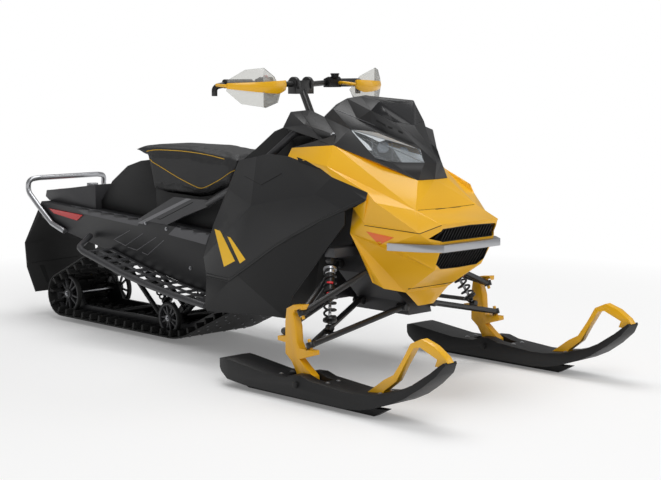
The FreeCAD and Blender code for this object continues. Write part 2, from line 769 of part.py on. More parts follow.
# Rear suspension: two arms and two shocks between the tunnel and the rails.
def eye(centre, radius, half_width):
    """A round eye across the sled."""
    return rod(centre - Vector(half_width, 0, 0), centre + Vector(half_width, 0, 0), radius)


cross_y = [mm("rail_bend_y") + rail_run * share for share in cross_y_shares]
sleeve_radius = mm("axle_radius") + mm("wheel_web")
sleeve_bore = mm("axle_radius") + mm("fit_gap")
arm_half = rail_inner_x - mm("wheel_web")
arm_tube = mm("arm_tube_radius")
tube_inset = arm_tube * 1.5


def shock_bracket(eye_place, carrier):
    """Two plates that hold a shock's eye to the sleeve that carries it."""
    eye_at, carrier_at = Vector(0, *eye_place), Vector(0, *carrier)
    towards = (carrier_at - eye_at).normalize() * mm("shock_eye_radius")
    across = Vector(0, -towards.z, towards.y)
    end_at = eye_at - towards * 0.6
    corners = [end_at + across, carrier_at + across, carrier_at - across, end_at - across]
    inner_x = mm("spring_radius") * 0.5 + mm("fit_gap")
    plate = side_prism(
        [(p.y, p.z) for p in corners], inner_x, inner_x + mm("shock_bracket_thickness"),
    )
    return [plate, mirrored(plate)]


def trailing_arm(high, low, high_half, low_half, brackets):
    """Two tubes between a sleeve under the tunnel and a sleeve on a rail's cross tube."""
    tubes = [
        rod(
            Vector(side * (high_half - tube_inset), high[0], high[1]),
            Vector(side * (low_half - tube_inset), low[0], low[1]), arm_tube,
        )
        for side in (-1, 1)
    ]
    sleeves = [
        eye(Vector(0, *high), sleeve_radius, high_half),
        eye(Vector(0, *low), sleeve_radius, low_half),
    ]
    bores = [
        eye(Vector(0, *high), sleeve_bore, high_half + mm("overrun")),
        eye(Vector(0, *low), sleeve_bore, low_half + mm("overrun")),
    ]
    return join_all(tubes + sleeves + brackets).cut(bores[0]).cut(bores[1])


top_sleeve_half = mm("top_wheel_x") - mm("wheel_width") / 2 - mm("fit_gap")
rear_arm_high = (mm("top_wheel_y"), mm("top_wheel_z"))
rear_arm_low = (cross_y[0], rail_cross_z)
front_arm_high = (mm("front_arm_y"), mm("front_arm_z"))
front_arm_low = (mm("mid_wheel_y"), mid_wheel_z)
rail_shock_z = rail_cross_z + mm("rail_height")
rear_shock_ends = [
    (rear_arm_high[0] - mm("shock_reach"), rear_arm_high[1] - mm("shock_drop")),
    (cross_y[0] + mm("rail_height"), rail_shock_z),
]
centre_shock_ends = [
    (front_arm_high[0] + mm("shock_reach"), front_arm_high[1] - mm("shock_drop")),
    (cross_y[0] - mm("rail_height"), rail_shock_z),
]
rear_arm_brackets = shock_bracket(rear_shock_ends[0], rear_arm_high)
rear_arm_brackets += shock_bracket(rear_shock_ends[1], rear_arm_low)
rear_arm_brackets += shock_bracket(centre_shock_ends[1], rear_arm_low)
rear_arm = trailing_arm(
    rear_arm_high, rear_arm_low, top_sleeve_half, arm_half, rear_arm_brackets,
)
front_arm = trailing_arm(
    front_arm_high, front_arm_low, arm_half, arm_half,
    shock_bracket(centre_shock_ends[0], front_arm_high),
)
front_shaft = eye(Vector(0, *front_arm_high), mm("axle_radius"), tunnel_inner_x - mm("fit_gap"))
feature("suspension_arms", Part.makeCompound([rear_arm, front_arm, front_shaft]))


def shock(start, end, across):
    """A shock with its spring's outline: two eyes, body, rod and coil."""
    along = (end - start).normalize()
    reach = (end - start).Length
    eye_radius = mm("shock_eye_radius")
    spring_radius = mm("spring_radius")
    wire = mm("spring_wire_radius")
    eye_half = spring_radius * 0.5
    eyes = [rod(p - across * eye_half, p + across * eye_half, eye_radius) for p in (start, end)]
    body_start = start + along * (eye_radius * 1.5)
    neck = rod(start, body_start, mm("shock_rod_radius"))
    body_part = rod(body_start, start + along * (reach * 0.52), mm("shock_body_radius"))
    shaft = rod(start + along * (reach * 0.5), end, mm("shock_rod_radius"))
    seats = [
        rod(start + along * (reach * low), start + along * (reach * high), spring_radius)
        for low, high in ((0.13, 0.18), (0.82, 0.87))
    ]
    coil_count = 7
    coil_low = reach * 0.18
    coil_run = reach * 0.64
    coils = []
    for number in range(coil_count):
        centre = start + along * (coil_low + coil_run * (number + 0.5) / coil_count)
        ring = Part.makeTorus(spring_radius - wire, wire, centre, along)
        coils.append(ring)
    sleeve = rod(
        start + along * coil_low, start + along * (coil_low + coil_run),
        spring_radius - wire,
    )
    return join_all(eyes + [neck, body_part, shaft, sleeve] + seats + coils)


across_sled = Vector(1, 0, 0)
feature("rear_shocks", Part.makeCompound([
    shock(*[Vector(0, *place) for place in ends], across_sled)
    for ends in (rear_shock_ends, centre_shock_ends)
]))

# Tunnel: a sheet channel over the track.
tunnel_length = size("tunnel_length")
tunnel_bend_share = size("tunnel_bend_run") / tunnel_length
tunnel_low_top_share = 0.833
tunnel_high_top_share = 1.01
tunnel_shares = [
    (0.0, 0.0), (0.0, tunnel_low_top_share), (tunnel_bend_share, tunnel_low_top_share),
    (1.0, tunnel_high_top_share), (1.0, 0.767), (0.970, 0.7), (0.887, 0.593), (0.277, 0.0),
]
tunnel = body("tunnel")
place(tunnel, 0, size("tunnel_front_y"), size("tunnel_base_z"))
tunnel_height = size("tunnel_height")
wall = size("tunnel_wall")
side_pad(
    tunnel, "TunnelBlock", scaled(tunnel_shares, tunnel_length, tunnel_height),
    2 * size("tunnel_half_width"),
)
past = size("overrun")
tunnel_hollow = [
    (wall, -1 * past),
    (wall, tunnel_height * tunnel_low_top_share - wall),
    (size("tunnel_bend_run"), tunnel_height * tunnel_low_top_share - wall),
    (tunnel_length + past, tunnel_height * tunnel_high_top_share - wall),
    (tunnel_length + past, -1 * past),
]
side_pocket(tunnel, "TunnelHollow", tunnel_hollow, 2 * (size("tunnel_half_width") - wall))

tunnel_bend_y = size("tunnel_front_y") + size("tunnel_bend_run")
tunnel_end_y = size("tunnel_front_y") + tunnel_length
tunnel_low_top = size("tunnel_base_z") + tunnel_height * tunnel_low_top_share
tunnel_high_top = size("tunnel_base_z") + tunnel_height * tunnel_high_top_share


def tunnel_top(along):
    """Height of the tunnel's top sheet at a place behind its bend."""
    slope = (tunnel_high_top - tunnel_low_top) / (tunnel_end_y - tunnel_bend_y)
    return tunnel_low_top + (along - tunnel_bend_y) * slope


# Rear deck: the low platform over the tunnel's back end.
deck_foot_share = 0.911
deck_shares = [(0.1, 0.967), (0.244, 0.892), (0.547, 0.75), (0.958, 0.575), (0.978, 0.333)]
deck = body("rear_deck")
place(deck, 0, 0, 0)
deck_front = size("deck_y") + size("deck_length") * deck_shares[0][0]
deck_points = scaled(
    deck_shares, size("deck_length"), size("deck_height"), size("deck_y"), size("deck_z"),
)
deck_foot = size("deck_y") + size("deck_length") * deck_foot_share
deck_points += [(deck_foot, tunnel_top(deck_foot)), (deck_front, tunnel_top(deck_front))]
side_pad(deck, "DeckBlock", deck_points, 2 * size("deck_half_width"))

# Snow flap: a curved rubber sheet behind the track.
flap_shares = [
    (0.0, 0.90), (0.0, 0.975), (0.05, 0.975), (1.0, 0.516), (0.917, 0.255), (0.487, 0.005),
    (0.449, 0.014), (0.862, 0.264), (0.949, 0.516),
]
flap = body("snow_flap")
place(flap, 0, tunnel_end_y + size("flap_y"), size("flap_z"))
side_pad(
    flap, "FlapSheet", scaled(flap_shares, size("flap_depth"), size("flap_height")),
    2 * size("flap_half_width"),
)

# Rear bumper: a bent tube from both tunnel walls up behind the deck.
bumper_x = mm("tunnel_half_width") + mm("bumper_tube_radius") + mm("fit_gap")
bumper_side_shares = [(0.0, 0.0), (0.337, 0.126), (0.702, 0.444), (1.0, 0.73), (0.97, 0.97)]
bumper_low = (tunnel_end_y.value - mm("bumper_y"), mm("bumper_z"))
bumper_side = [
    Vector(
        bumper_x, bumper_low[0] + mm("bumper_length") * along,
        bumper_low[1] + mm("bumper_height") * up,
    )
    for along, up in bumper_side_shares
]
bumper_top = Vector(
    bumper_x * 0.78, bumper_low[0] + mm("bumper_length") * 0.93,
    bumper_low[1] + mm("bumper_height"),
)
bumper_points = bumper_side + [bumper_top]
bumper_points += [Vector(-p.x, p.y, p.z) for p in bumper_points[::-1]]
feature("rear_bumper", pipe(bumper_points, mm("bumper_tube_radius"), mm("bumper_bend")))

# Running boards: an outer tube and a plate with two rows of holes.
board_inner_x = mm("tunnel_half_width") + mm("fit_gap")
board_points_shares = [
    (0.0, 0.0), (0.198, 0.091), (0.352, 0.187), (0.511, 0.313), (0.676, 0.487), (0.794, 0.613),
    (0.919, 0.778), (1.0, 1.0),
]


def board_height(share):
    """Height of the board's tube at a share of its length."""
    for (s_a, h_a), (s_b, h_b) in zip(board_points_shares, board_points_shares[1:]):
        if share <= s_b:
            return h_a + (h_b - h_a) * (share - s_a) / (s_b - s_a)
    return board_points_shares[-1][1]


def board_point(x, share, drop=0.0):
    """A point on the board's slope."""
    return Vector(
        x, mm("board_front_y") + mm("board_length") * share,
        mm("board_z") + mm("board_rise") * board_height(share) - drop,
    )


board_tube = [board_point(mm("board_tube_x"), share) for share, height in board_points_shares[:-2]]
board_end = board_point(board_inner_x + mm("board_tube_radius"), 0.93)
board_turn = board_point(mm("board_tube_x") - mm("board_tube_radius"), 0.84)
tube_solid = pipe(board_tube[:1] + board_tube[1:] + [board_turn, board_end],
                  mm("board_tube_radius"), mm("bumper_bend"))
plate_shares = (0.0, 0.198, 0.352, 0.511, 0.676, 0.794)
plate_profile = [
    (board_point(0, share, -mm("board_sheet") / 2).y, board_point(0, share, -mm("board_sheet") / 2).z)
    for share in plate_shares
]
plate_profile += [(y, z - mm("board_sheet")) for y, z in plate_profile[::-1]]
board_plate = side_prism(plate_profile, board_inner_x, mm("board_tube_x"))
slot_start = mm("board_front_y") + mm("board_slot_pitch") / 2
slot_run = mm("board_length") * plate_shares[-1]
slot_count = int(slot_run / mm("board_slot_pitch")) - 1
slot_width = (
    mm("board_tube_x") - mm("board_tube_radius") - board_inner_x - 3 * mm("board_bar_width")
) / 2
slots = []
for number in range(1, slot_count + 1):
    for row in range(2):
        low = Vector(
            board_inner_x + mm("board_bar_width") + row * (slot_width + mm("board_bar_width")),
            slot_start + number * mm("board_slot_pitch"),
            mm("board_z") - mm("board_rise"),
        )
        slots.append(Part.makeBox(slot_width, mm("board_slot_length"), 3 * mm("board_rise"), low))
board_plate = board_plate.cut(Part.makeCompound(slots))
running_board = join_all([board_plate, tube_solid])
feature("running_board_left", running_board)
feature("running_board_right", mirrored(running_board))

# Seat, the cover behind it and the fuel tank: padded or moulded pieces over the tunnel.
seat_shares = [
    (0.854, 0.81), (0.803, 0.31), (0.783, 0.114), (0.656, 0.048), (0.357, 0.014), (0.249, 0.067),
    (0.053, 0.338), (-0.006, 0.8), (0.051, 0.857), (0.423, 0.99), (0.756, 0.981),
    (0.904, 0.929), (0.971, 0.857),
]
seat = body("seat_cushion")
place(seat, 0, size("seat_y"), size("seat_z"))
side_pad(
    seat, "SeatBlock", scaled(seat_shares, size("seat_length"), size("seat_height")),
    2 * size("seat_half_width"),
)
def seat_point(number):
    """A corner of the seat's side view, from its table of shares."""
    along, up = seat_shares[number]
    return (
        size("seat_y") + size("seat_length") * along, size("seat_z") + size("seat_height") * up,
    )


seat_front_top, seat_front_low = seat_point(7), seat_point(6)
seat_under = [seat_point(number) for number in (6, 5, 4, 3, 2)]
seat_rear = [seat_point(number) for number in (2, 1, 0)]
gap = size("fit_gap")

# Cover behind the seat: its front edge follows the seat, its underside rests on the tunnel.
cover_shares = [(0.997, 0.183), (0.93, 0.396), (0.878, 0.562), (0.7, 0.863), (0.55, 0.975)]
cover = body("rear_cover")
place(cover, 0, 0, 0)
cover_points = scaled(
    cover_shares, size("cover_length"), size("cover_height"), size("cover_y"), size("cover_z"),
)
cover_front = [(along + gap, up) for along, up in seat_rear[::-1]]
cover_top_share = 0.726
cover_rear = deck_front
cover_base = cover_front[2][0]
cover_points += [
    (
        cover_front[1][0] + (cover_front[0][0] - cover_front[1][0]) * cover_top_share,
        cover_front[1][1] + (cover_front[0][1] - cover_front[1][1]) * cover_top_share,
    ),
    cover_front[1], cover_front[2], (cover_base, tunnel_top(cover_base)),
    (cover_rear, tunnel_top(cover_rear)),
    (cover_rear, size("cover_z") + size("cover_height") * cover_shares[0][1]),
]
side_pad(cover, "CoverBlock", cover_points[1:], 2 * size("cover_half_width"))

# Seat base: fills the space between the cushion and the tunnel.
base = body("seat_base")
place(base, 0, 0, 0)
base_rear = seat_under[-1][0]
base_points = [(along, up - gap) for along, up in seat_under]
base_points += [
    (base_rear, tunnel_top(base_rear)), (tunnel_bend_y, tunnel_low_top),
    (seat_under[0][0], tunnel_low_top),
]
side_pad(base, "BaseBlock", base_points, 2 * size("cover_half_width"))

# Fuel tank: from the steering post back to the seat, down to the tunnel.
tank_shares = [(0.739, 0.718), (0.421, 0.927), (0.221, 0.991), (0.024, 0.745)]
tank = body("fuel_tank")
place(tank, 0, 0, 0)
tank_points = scaled(
    tank_shares, size("tank_length"), size("tank_height"), size("tank_y"), size("tank_z"),
)
tank_front = tank_points[-1][0]
tank_points += [
    (tank_front, tunnel_low_top), (seat_front_low[0] - gap, tunnel_low_top),
    (seat_front_low[0] - gap, seat_front_low[1] - gap), (seat_front_top[0] - gap, seat_front_top[1]),
]
side_pad(tank, "TankBlock", tank_points, 2 * size("tank_half_width"))

# Frame struts: forged plates on the tunnel, spars up to the steering collar.
lean = math.radians(mm("post_lean"))
post_axis = Vector(0, math.sin(lean), math.cos(lean))
post_top = Vector(0, mm("post_top_y"), mm("post_top_z"))
collar = post_top - post_axis * mm("collar_drop")
strut_shares = [(1.0, 0.0), (0.49, 1.0), (0.0, 1.0), (0.01, 0.84), (0.36, 0.42), (0.587, 0.0)]
strut_x = mm("tunnel_half_width") - mm("strut_thickness")
strut_base = tunnel_low_top.value + mm("fit_gap")
strut_points = [
    (mm("strut_y") + mm("strut_length") * along,
     max(strut_base + mm("strut_height") * up,
         tunnel_top(mm("strut_y") + mm("strut_length") * along).value + mm("fit_gap")))
    for along, up in strut_shares
]
strut_plate = side_prism(strut_points, strut_x, mm("tunnel_half_width"))
spar_points = [
    Vector(mm("spar_low_x"), mm("spar_low_y"), mm("spar_low_z")),
    Vector(mm("spar_mid_x"), mm("spar_mid_y"), mm("spar_mid_z")),
    Vector(mm("spar_high_x"), collar.y + mm("spar_radius") * 0.5, collar.z),
]
spars = [rod(start, end, mm("spar_radius")) for start, end in zip(spar_points, spar_points[1:])]
spars += [Part.makeSphere(mm("spar_radius"), point) for point in spar_points[1:]]
half_collar = mm("collar_height") / 2
collar_solid = rod(
    collar - post_axis * half_collar, collar + post_axis * half_collar, mm("collar_radius"),
)
collar_bore = rod(
    collar - post_axis * mm("collar_height"), collar + post_axis * mm("collar_height"),
    mm("post_radius") + mm("pin_gap"),
)
head_tube = rod(spar_points[2], Vector(-spar_points[2].x, spar_points[2].y, spar_points[2].z),
                mm("spar_radius"))
half_frame = [strut_plate] + spars
frame_solid = join_all(
    half_frame + [mirrored(piece) for piece in half_frame] + [head_tube, collar_solid]
).cut(collar_bore)
feature("frame_struts", frame_solid)

# Lamps at the back: a red strip on each tunnel wall and one under the deck's end.
reflector_shares = [(1.0, 1.0), (0.0, 0.70), (0.17, 0.0), (0.86, 0.5)]
reflector_points = [
    (tunnel_end_y.value - mm("reflector_y") + mm("reflector_length") * along,
     mm("reflector_z") + mm("reflector_height") * up)
    for along, up in reflector_shares
]
reflector_x = mm("tunnel_half_width") + mm("fit_gap")
reflector = side_prism(reflector_points, reflector_x, reflector_x + mm("reflector_thickness"))
lamp_low = tunnel_high_top.value
lamp_y = mm("deck_y") + mm("deck_length") * deck_shares[-1][0]
lamp = Part.makeBox(
    2 * mm("tail_lamp_half_width"), mm("tail_lamp_depth"),
    mm("deck_z") + mm("deck_height") * deck_shares[-2][1] - lamp_low,
    Vector(-mm("tail_lamp_half_width"), lamp_y, lamp_low),
)
feature("tail_lamps", Part.makeCompound([reflector, mirrored(reflector), lamp]))

# Engine: one plain block over the front frame module.
engine = block(
    "engine", 2 * size("engine_half_width"), size("engine_length"), size("engine_height"),
    -1 * size("engine_half_width"), size("engine_front_y"), size("engine_base_z"),
)
engine.Label = "engine"

# Body panels: corners of the rider's left half as shares of width, length and height.
hull_shares = {
    "a_rear_top": (0.5875, -0.130, 0.797), "a_back": (0.6125, -0.245, 0.816),
    "a_hump": (0.595, -0.305, 0.829), "y_rear_low": (0.608, -0.418, 0.824),
    "a_step": (0.68, -0.620, 0.790), "a_notch": (0.71, -0.694, 0.762),
    "a_tip": (0.695, -0.867, 0.717), "a_tip_low": (0.705, -0.862, 0.689),
    "a_low_front": (0.77, -0.782, 0.648), "a_low_mid": (0.875, -0.541, 0.537),
    "a_low_rear": (0.938, -0.273, 0.374), "a_low_corner": (0.942, -0.226, 0.342),
    "a_rear_low": (0.918, -0.085, 0.347), "a_rear_mid": (0.868, -0.043, 0.420),
    "a_rear_waist": (0.755, -0.051, 0.543), "a_fold": (0.7125, -0.132, 0.683),
    "a_bulge": (0.88, -0.330, 0.640), "a_bulge_front": (0.8, -0.640, 0.700),
    "f_rear": (0.935, -0.083, 0.240), "f_rear_low": (0.915, -0.083, 0.213),
    "f_front_low": (0.85, -0.498, 0.237), "f_front": (0.83, -0.535, 0.318),
    "f_front_top": (0.765, -0.780, 0.600),
    "y_rear_top": (0.5625, -0.420, 0.855), "y_shoulder": (0.5875, -0.653, 0.873),
    "y_crease": (0.70, -0.662, 0.800), "y_mid": (0.20, -0.925, 0.752),
    "y_ridge": (0.4125, -0.992, 0.654), "y_nose": (0.3825, -1.103, 0.611),
    "y_lip": (0.5125, -1.046, 0.580), "y_side": (0.67, -0.897, 0.682),
    "y_side_lip": (0.64, -0.826, 0.604), "y_side_rear": (0.66, -0.781, 0.655),
    "l_rear": (0.6375, -0.757, 0.562), "l_rear_mid": (0.5375, -0.804, 0.452),
    "l_rear_low": (0.4875, -0.817, 0.385), "l_chin_rear": (0.4375, -0.848, 0.363),
    "l_belly": (0.2875, -0.901, 0.348), "l_tip": (0.1025, -0.895, 0.291),
    "l_side": (0.5875, -0.925, 0.531), "l_bumper": (0.36, -1.085, 0.525),
    "l_chin": (0.315, -1.050, 0.445),
    "h_top": (0.0625, -0.584, 1.047), "h_top_rear": (0.1125, -0.531, 1.038),
    "h_rear": (0.1875, -0.504, 1.015), "w_corner": (0.23, -0.743, 1.032),
    "w_low_corner": (0.3125, -0.732, 0.998), "w_low_near": (0.20, -0.808, 0.957),
    "lip_rear": (0.30, -0.534, 0.999), "lip_a": (0.325, -0.671, 0.963),
    "lip_b": (0.31, -0.739, 0.943), "lip_c": (0.25, -0.797, 0.910),
    "lip_d": (0.10, -0.877, 0.878), "e_outer": (0.4375, -0.677, 0.931),
    "e_top": (0.375, -0.791, 0.922), "e_top_in": (0.1125, -0.904, 0.862),
    "e_in": (0.1125, -0.926, 0.814), "e_low": (0.30, -0.832, 0.815),
    "e_low_out": (0.395, -0.785, 0.830), "b_low": (0.40, -0.816, 0.809),
    "c_rear": (0.375, -0.290, 0.925), "c_rear_top": (0.275, -0.290, 0.984),
    "c_top": (0.15, -0.345, 0.992), "c_front": (0.28, -0.477, 0.970),
    "c_front_low": (0.50, -0.627, 0.908), "c_low": (0.45, -0.566, 0.877),
    "c_swell": (0.42, -0.430, 0.940),
}
centre_shares = {
    "w_mid": (-0.746, 1.022), "w_low_mid": (-0.832, 0.945), "lip_mid": (-0.924, 0.850),
    "e_mid": (-0.942, 0.812), "roof_mid": (-0.584, 1.050), "roof_rear": (-0.531, 1.042),
    "b_mid": (-0.935, 0.752),
}
# Faces of one half, corners in turn; a name with a prime mark lies on the other half.
panel_faces = {
    "side_panel": [
        "a_rear_top a_back a_fold", "a_rear_top a_fold a_rear_waist",
        "a_back a_hump a_bulge a_fold", "a_hump y_rear_low a_bulge",
        "y_rear_low a_step a_bulge_front a_bulge", "a_step a_notch a_bulge_front",
        "a_notch a_tip a_tip_low a_bulge_front", "a_bulge_front a_tip_low a_low_front",
        "a_bulge_front a_low_front a_low_mid a_bulge", "a_bulge a_low_mid a_low_rear",
        "a_bulge a_low_rear a_low_corner a_rear_low a_rear_mid",
        "a_bulge a_rear_mid a_rear_waist", "a_bulge a_rear_waist a_fold",
    ],
    "footwell": [
        "a_rear_low a_low_corner f_rear", "a_low_corner a_low_rear f_front_low f_rear_low f_rear",
        "a_low_rear a_low_mid f_front f_front_low", "a_low_mid a_low_front f_front_top f_front",
    ],
    "nose_cowl": [
        "y_rear_top y_shoulder y_crease y_rear_low", "y_shoulder b_low y_mid y_ridge y_crease",
        "y_rear_low y_crease a_step", "a_step y_crease a_notch",
        "y_crease y_side a_tip a_notch", "y_crease y_ridge y_side",
        "a_tip y_side y_side_lip a_tip_low", "a_tip_low y_side_lip y_side_rear",
        "y_side y_ridge y_lip y_side_lip", "y_ridge y_nose y_lip",
        "b_mid y_mid' y_ridge' y_ridge y_mid", "y_ridge y_ridge' y_nose' y_nose",
    ],
    "nose_lower": [
        "y_side_rear y_side_lip l_rear", "y_side_lip l_side l_rear", "y_side_lip y_lip l_side",
        "y_lip y_nose l_bumper l_side",
        "l_rear l_side l_chin l_belly l_chin_rear l_rear_low l_rear_mid",
        "l_side l_bumper l_chin", "y_nose y_nose' l_bumper' l_bumper",
        "l_bumper l_bumper' l_chin' l_chin", "l_chin l_chin' l_belly' l_belly",
        "l_belly l_belly' l_tip' l_tip",
    ],
    "hood": [
        "h_top w_corner w_low_corner h_top_rear", "h_top_rear w_low_corner lip_a lip_rear h_rear",
        "h_top h_top_rear roof_rear roof_mid", "h_top roof_mid w_mid w_corner",
        "w_low_corner w_low_near lip_c lip_b lip_a", "w_low_near w_low_mid lip_mid lip_d lip_c",
        "lip_a lip_b e_top e_outer", "lip_b lip_c lip_d e_top_in e_top",
        "lip_d lip_mid e_mid e_in e_top_in", "e_outer e_low_out b_low y_shoulder",
        "e_low_out e_low b_low", "e_low e_in y_mid b_low", "e_in e_mid b_mid y_mid",
        "lip_rear lip_a e_outer c_front", "c_front e_outer y_shoulder c_front_low",
        "c_front_low y_shoulder y_rear_top c_low", "h_rear lip_rear c_front",
    ],
    "windshield": [
        "w_corner w_mid w_low_mid w_low_near", "w_corner w_low_near w_low_corner",
    ],
    "headlamp_lenses": ["e_outer e_top e_top_in e_in e_low e_low_out"],
    "console": [
        "c_rear c_rear_top c_swell", "c_rear_top c_top c_swell", "c_top c_front c_swell",
        "c_front c_front_low c_swell", "c_front_low c_low c_swell", "c_low c_rear c_swell",
    ],
}


def hull_corner(name):
    """A corner of the body panels in millimetres."""
    plain = name.rstrip("'")
    if plain in centre_shares:
        along, up = centre_shares[plain]
        return Vector(0, along * mm("hull_length"), up * mm("hull_height"))
    out, along, up = hull_shares[plain]
    side = -1 if name.endswith("'") else 1
    return Vector(
        side * out * mm("hull_half_width"), along * mm("hull_length"), up * mm("hull_height")
    )


def other_side(name):
    """The name of the same corner on the other half."""
    if name in centre_shares:
        return name
    return name[:-1] if name.endswith("'") else name + "'"


def triangles(face):
    """A face's corners as a fan of triangles."""
    names = face.split()
    return [(names[0], second, third) for second, third in zip(names[1:], names[2:])]


def mirrored_triangles(fan):
    """The same triangles on the other half, turned so that they face outwards."""
    return [tuple(other_side(name) for name in reversed(corners)) for corners in fan]


def panel_triangles(panel):
    """All triangles of a panel on both halves, without repeats."""
    found = {}
    for face in panel_faces[panel]:
        fan = triangles(face)
        both = fan if face_is_symmetric(face) else fan + mirrored_triangles(fan)
        for corners in both:
            found[frozenset(corners)] = corners
    return list(found.values())


def face_is_symmetric(face):
    """Whether a face is its own mirror image."""
    names = face.split()
    return {other_side(name) for name in names} == set(names)


def outward(corners):
    """Twice the area of a triangle as a vector, pointing out of the sled."""
    first, second, third = (hull_corner(name) for name in corners)
    return (second - first).cross(third - first)


# The core line runs through the middle of the body; every panel faces away from it.
core_low = Vector(0, -0.05 * mm("hull_length"), 0.45 * mm("hull_height"))
core_high = Vector(0, -0.80 * mm("hull_length"), 0.70 * mm("hull_height"))


def away_from_core(point):
    """Direction from the body's core line to a point."""
    along = core_high - core_low
    share = max(0.0, min(1.0, (point - core_low).dot(along) / along.dot(along)))
    return point - (core_low + along * share)


def oriented(corners):
    """A triangle turned so that it faces out of the sled."""
    middle = (hull_corner(corners[0]) + hull_corner(corners[1]) + hull_corner(corners[2])) / 3
    return corners if outward(corners).dot(away_from_core(middle)) > 0 else corners[::-1]


def shared_edge(first, second):
    """Whether two triangles meet, and whether they run their shared edge the same way."""
    edges = set(zip(first, first[1:] + first[:1]))
    for start, end in zip(second, second[1:] + second[:1]):
        if (start, end) in edges:
            return "same"
        if (end, start) in edges:
            return "opposite"
    return None


def turned_alike(found):
    """The triangles with neighbours facing the same way, each group out of the sled."""
    waiting = list(found)
    turned = []
    while waiting:
        best = max(waiting, key=lambda corners: abs(facing_share(corners)))
        waiting.remove(best)
        group = [oriented(best)]
        front = group[:]
        while front:
            current = front.pop()
            for candidate in waiting[:]:
                meeting = shared_edge(current, candidate)
                if meeting is None:
                    continue
                waiting.remove(candidate)
                kept = candidate[::-1] if meeting == "same" else candidate
                group.append(kept)
                front.append(kept)
        turned += group
    return turned


def facing_share(corners):
    """How squarely a triangle faces away from the core line."""
    middle = (hull_corner(corners[0]) + hull_corner(corners[1]) + hull_corner(corners[2])) / 3
    return outward(corners).normalize().dot(away_from_core(middle).normalize())


hull_triangles = {panel: turned_alike(panel_triangles(panel)) for panel in panel_faces}
corner_normals = {}
for panel, found in hull_triangles.items():
    for corners in found:
        facing = outward(corners).normalize()
        for name in corners:
            corner_normals[name] = corner_normals.get(name, Vector()) + facing


def inner_corner(name):
    """The corner on a panel's inner face."""
    return hull_corner(name) - corner_normals[name].normalize() * mm("panel_thickness")


def facet(*points):
    """One flat triangle."""
    return Part.Face(Part.makePolygon(list(points) + [points[0]]))


def panel_solid(found):
    """A closed panel from its outer triangles, an inner face and walls along its rim."""
    facets = []
    rim = {}
    for corners in found:
        facets.append(facet(*(hull_corner(name) for name in corners)))
        facets.append(facet(*(inner_corner(name) for name in reversed(corners))))
        for start, end in zip(corners, corners[1:] + corners[:1]):
            if (end, start) in rim:
                del rim[(end, start)]
            else:
                rim[(start, end)] = True
    for start, end in rim:
        low, high = sorted((start, end))
        inner_low, inner_high = inner_corner(low), inner_corner(high)
        facets.append(facet(hull_corner(low), hull_corner(high), inner_low))
        facets.append(facet(hull_corner(high), inner_high, inner_low))
    shell = Part.makeShell(facets)
    shell.sewShape()
    solid = Part.makeSolid(shell)
    if solid.Volume < 0:
        solid.reverse()
    return solid


def half_of(found, side):
    """The triangles of one side of the sled."""
    wanted = []
    for corners in found:
        middle = sum(hull_corner(name).x for name in corners)
        if middle * side > 0:
            wanted.append(corners)
    return wanted


# Grilles: openings above and below the bumper bar, each with slanted slats on a back frame.
grille_shares = {
    "upper": [(0.0, 0.0), (0.74, 0.0), (1.0, 0.26), (0.80, 0.92), (0.0, 1.0)],
    "lower": [(0.0, 0.0), (0.55, 0.05), (0.74, 0.36), (0.75, 1.0), (0.0, 1.0)],
}
grille_tops = {
    "upper": hull_corner("y_nose").z - mm("upper_grille_top_z"),
    "lower": hull_corner("l_bumper").z - mm("lower_grille_top_z"),
}
grille_heights = {"upper": mm("upper_grille_height"), "lower": mm("lower_grille_height")}


def grille_opening(row, trim):
    """A grille's outline on both halves, as a prism along the sled, smaller by a trim."""
    height = grille_heights[row] - 2 * trim
    low = grille_tops[row] - grille_heights[row] + trim
    width = mm("grille_half_width") - trim
    front = hull_corner("l_bumper").y - mm("overrun") * 2
    half = [
        Vector(width * out, front, low + height * up) for out, up in grille_shares[row]
    ]
    ring = half + [Vector(-p.x, p.y, p.z) for p in half[::-1] if p.x > 0]
    face = Part.Face(Part.makePolygon(ring + ring[:1]))
    return face.extrude(Vector(0, mm("grille_reach"), 0))


def moved_back(shape, distance):
    """The same shape, further to the rear."""
    copy = shape.copy()
    copy.translate(Vector(0, distance, 0))
    return copy


def slat(number, low_z, top_z, front_y):
    """One slanted slat across a grille, counted from the rider's right."""
    foot = number * mm("slat_pitch") - mm("grille_half_width") - mm("slat_slant")
    corners = [
        Vector(foot, front_y, low_z), Vector(foot + mm("slat_width"), front_y, low_z),
        Vector(foot + mm("slat_width") + mm("slat_slant"), front_y, top_z),
        Vector(foot + mm("slat_slant"), front_y, top_z),
    ]
    face = Part.Face(Part.makePolygon(corners + corners[:1]))
    return face.extrude(Vector(0, mm("grille_reach"), 0))


lower_shell = panel_solid(hull_triangles["nose_lower"])
for row in grille_shares:
    lower_shell = lower_shell.cut(grille_opening(row, 0))
lower_shell = max(lower_shell.Solids, key=lambda solid: solid.Volume)
feature("nose_lower", lower_shell)

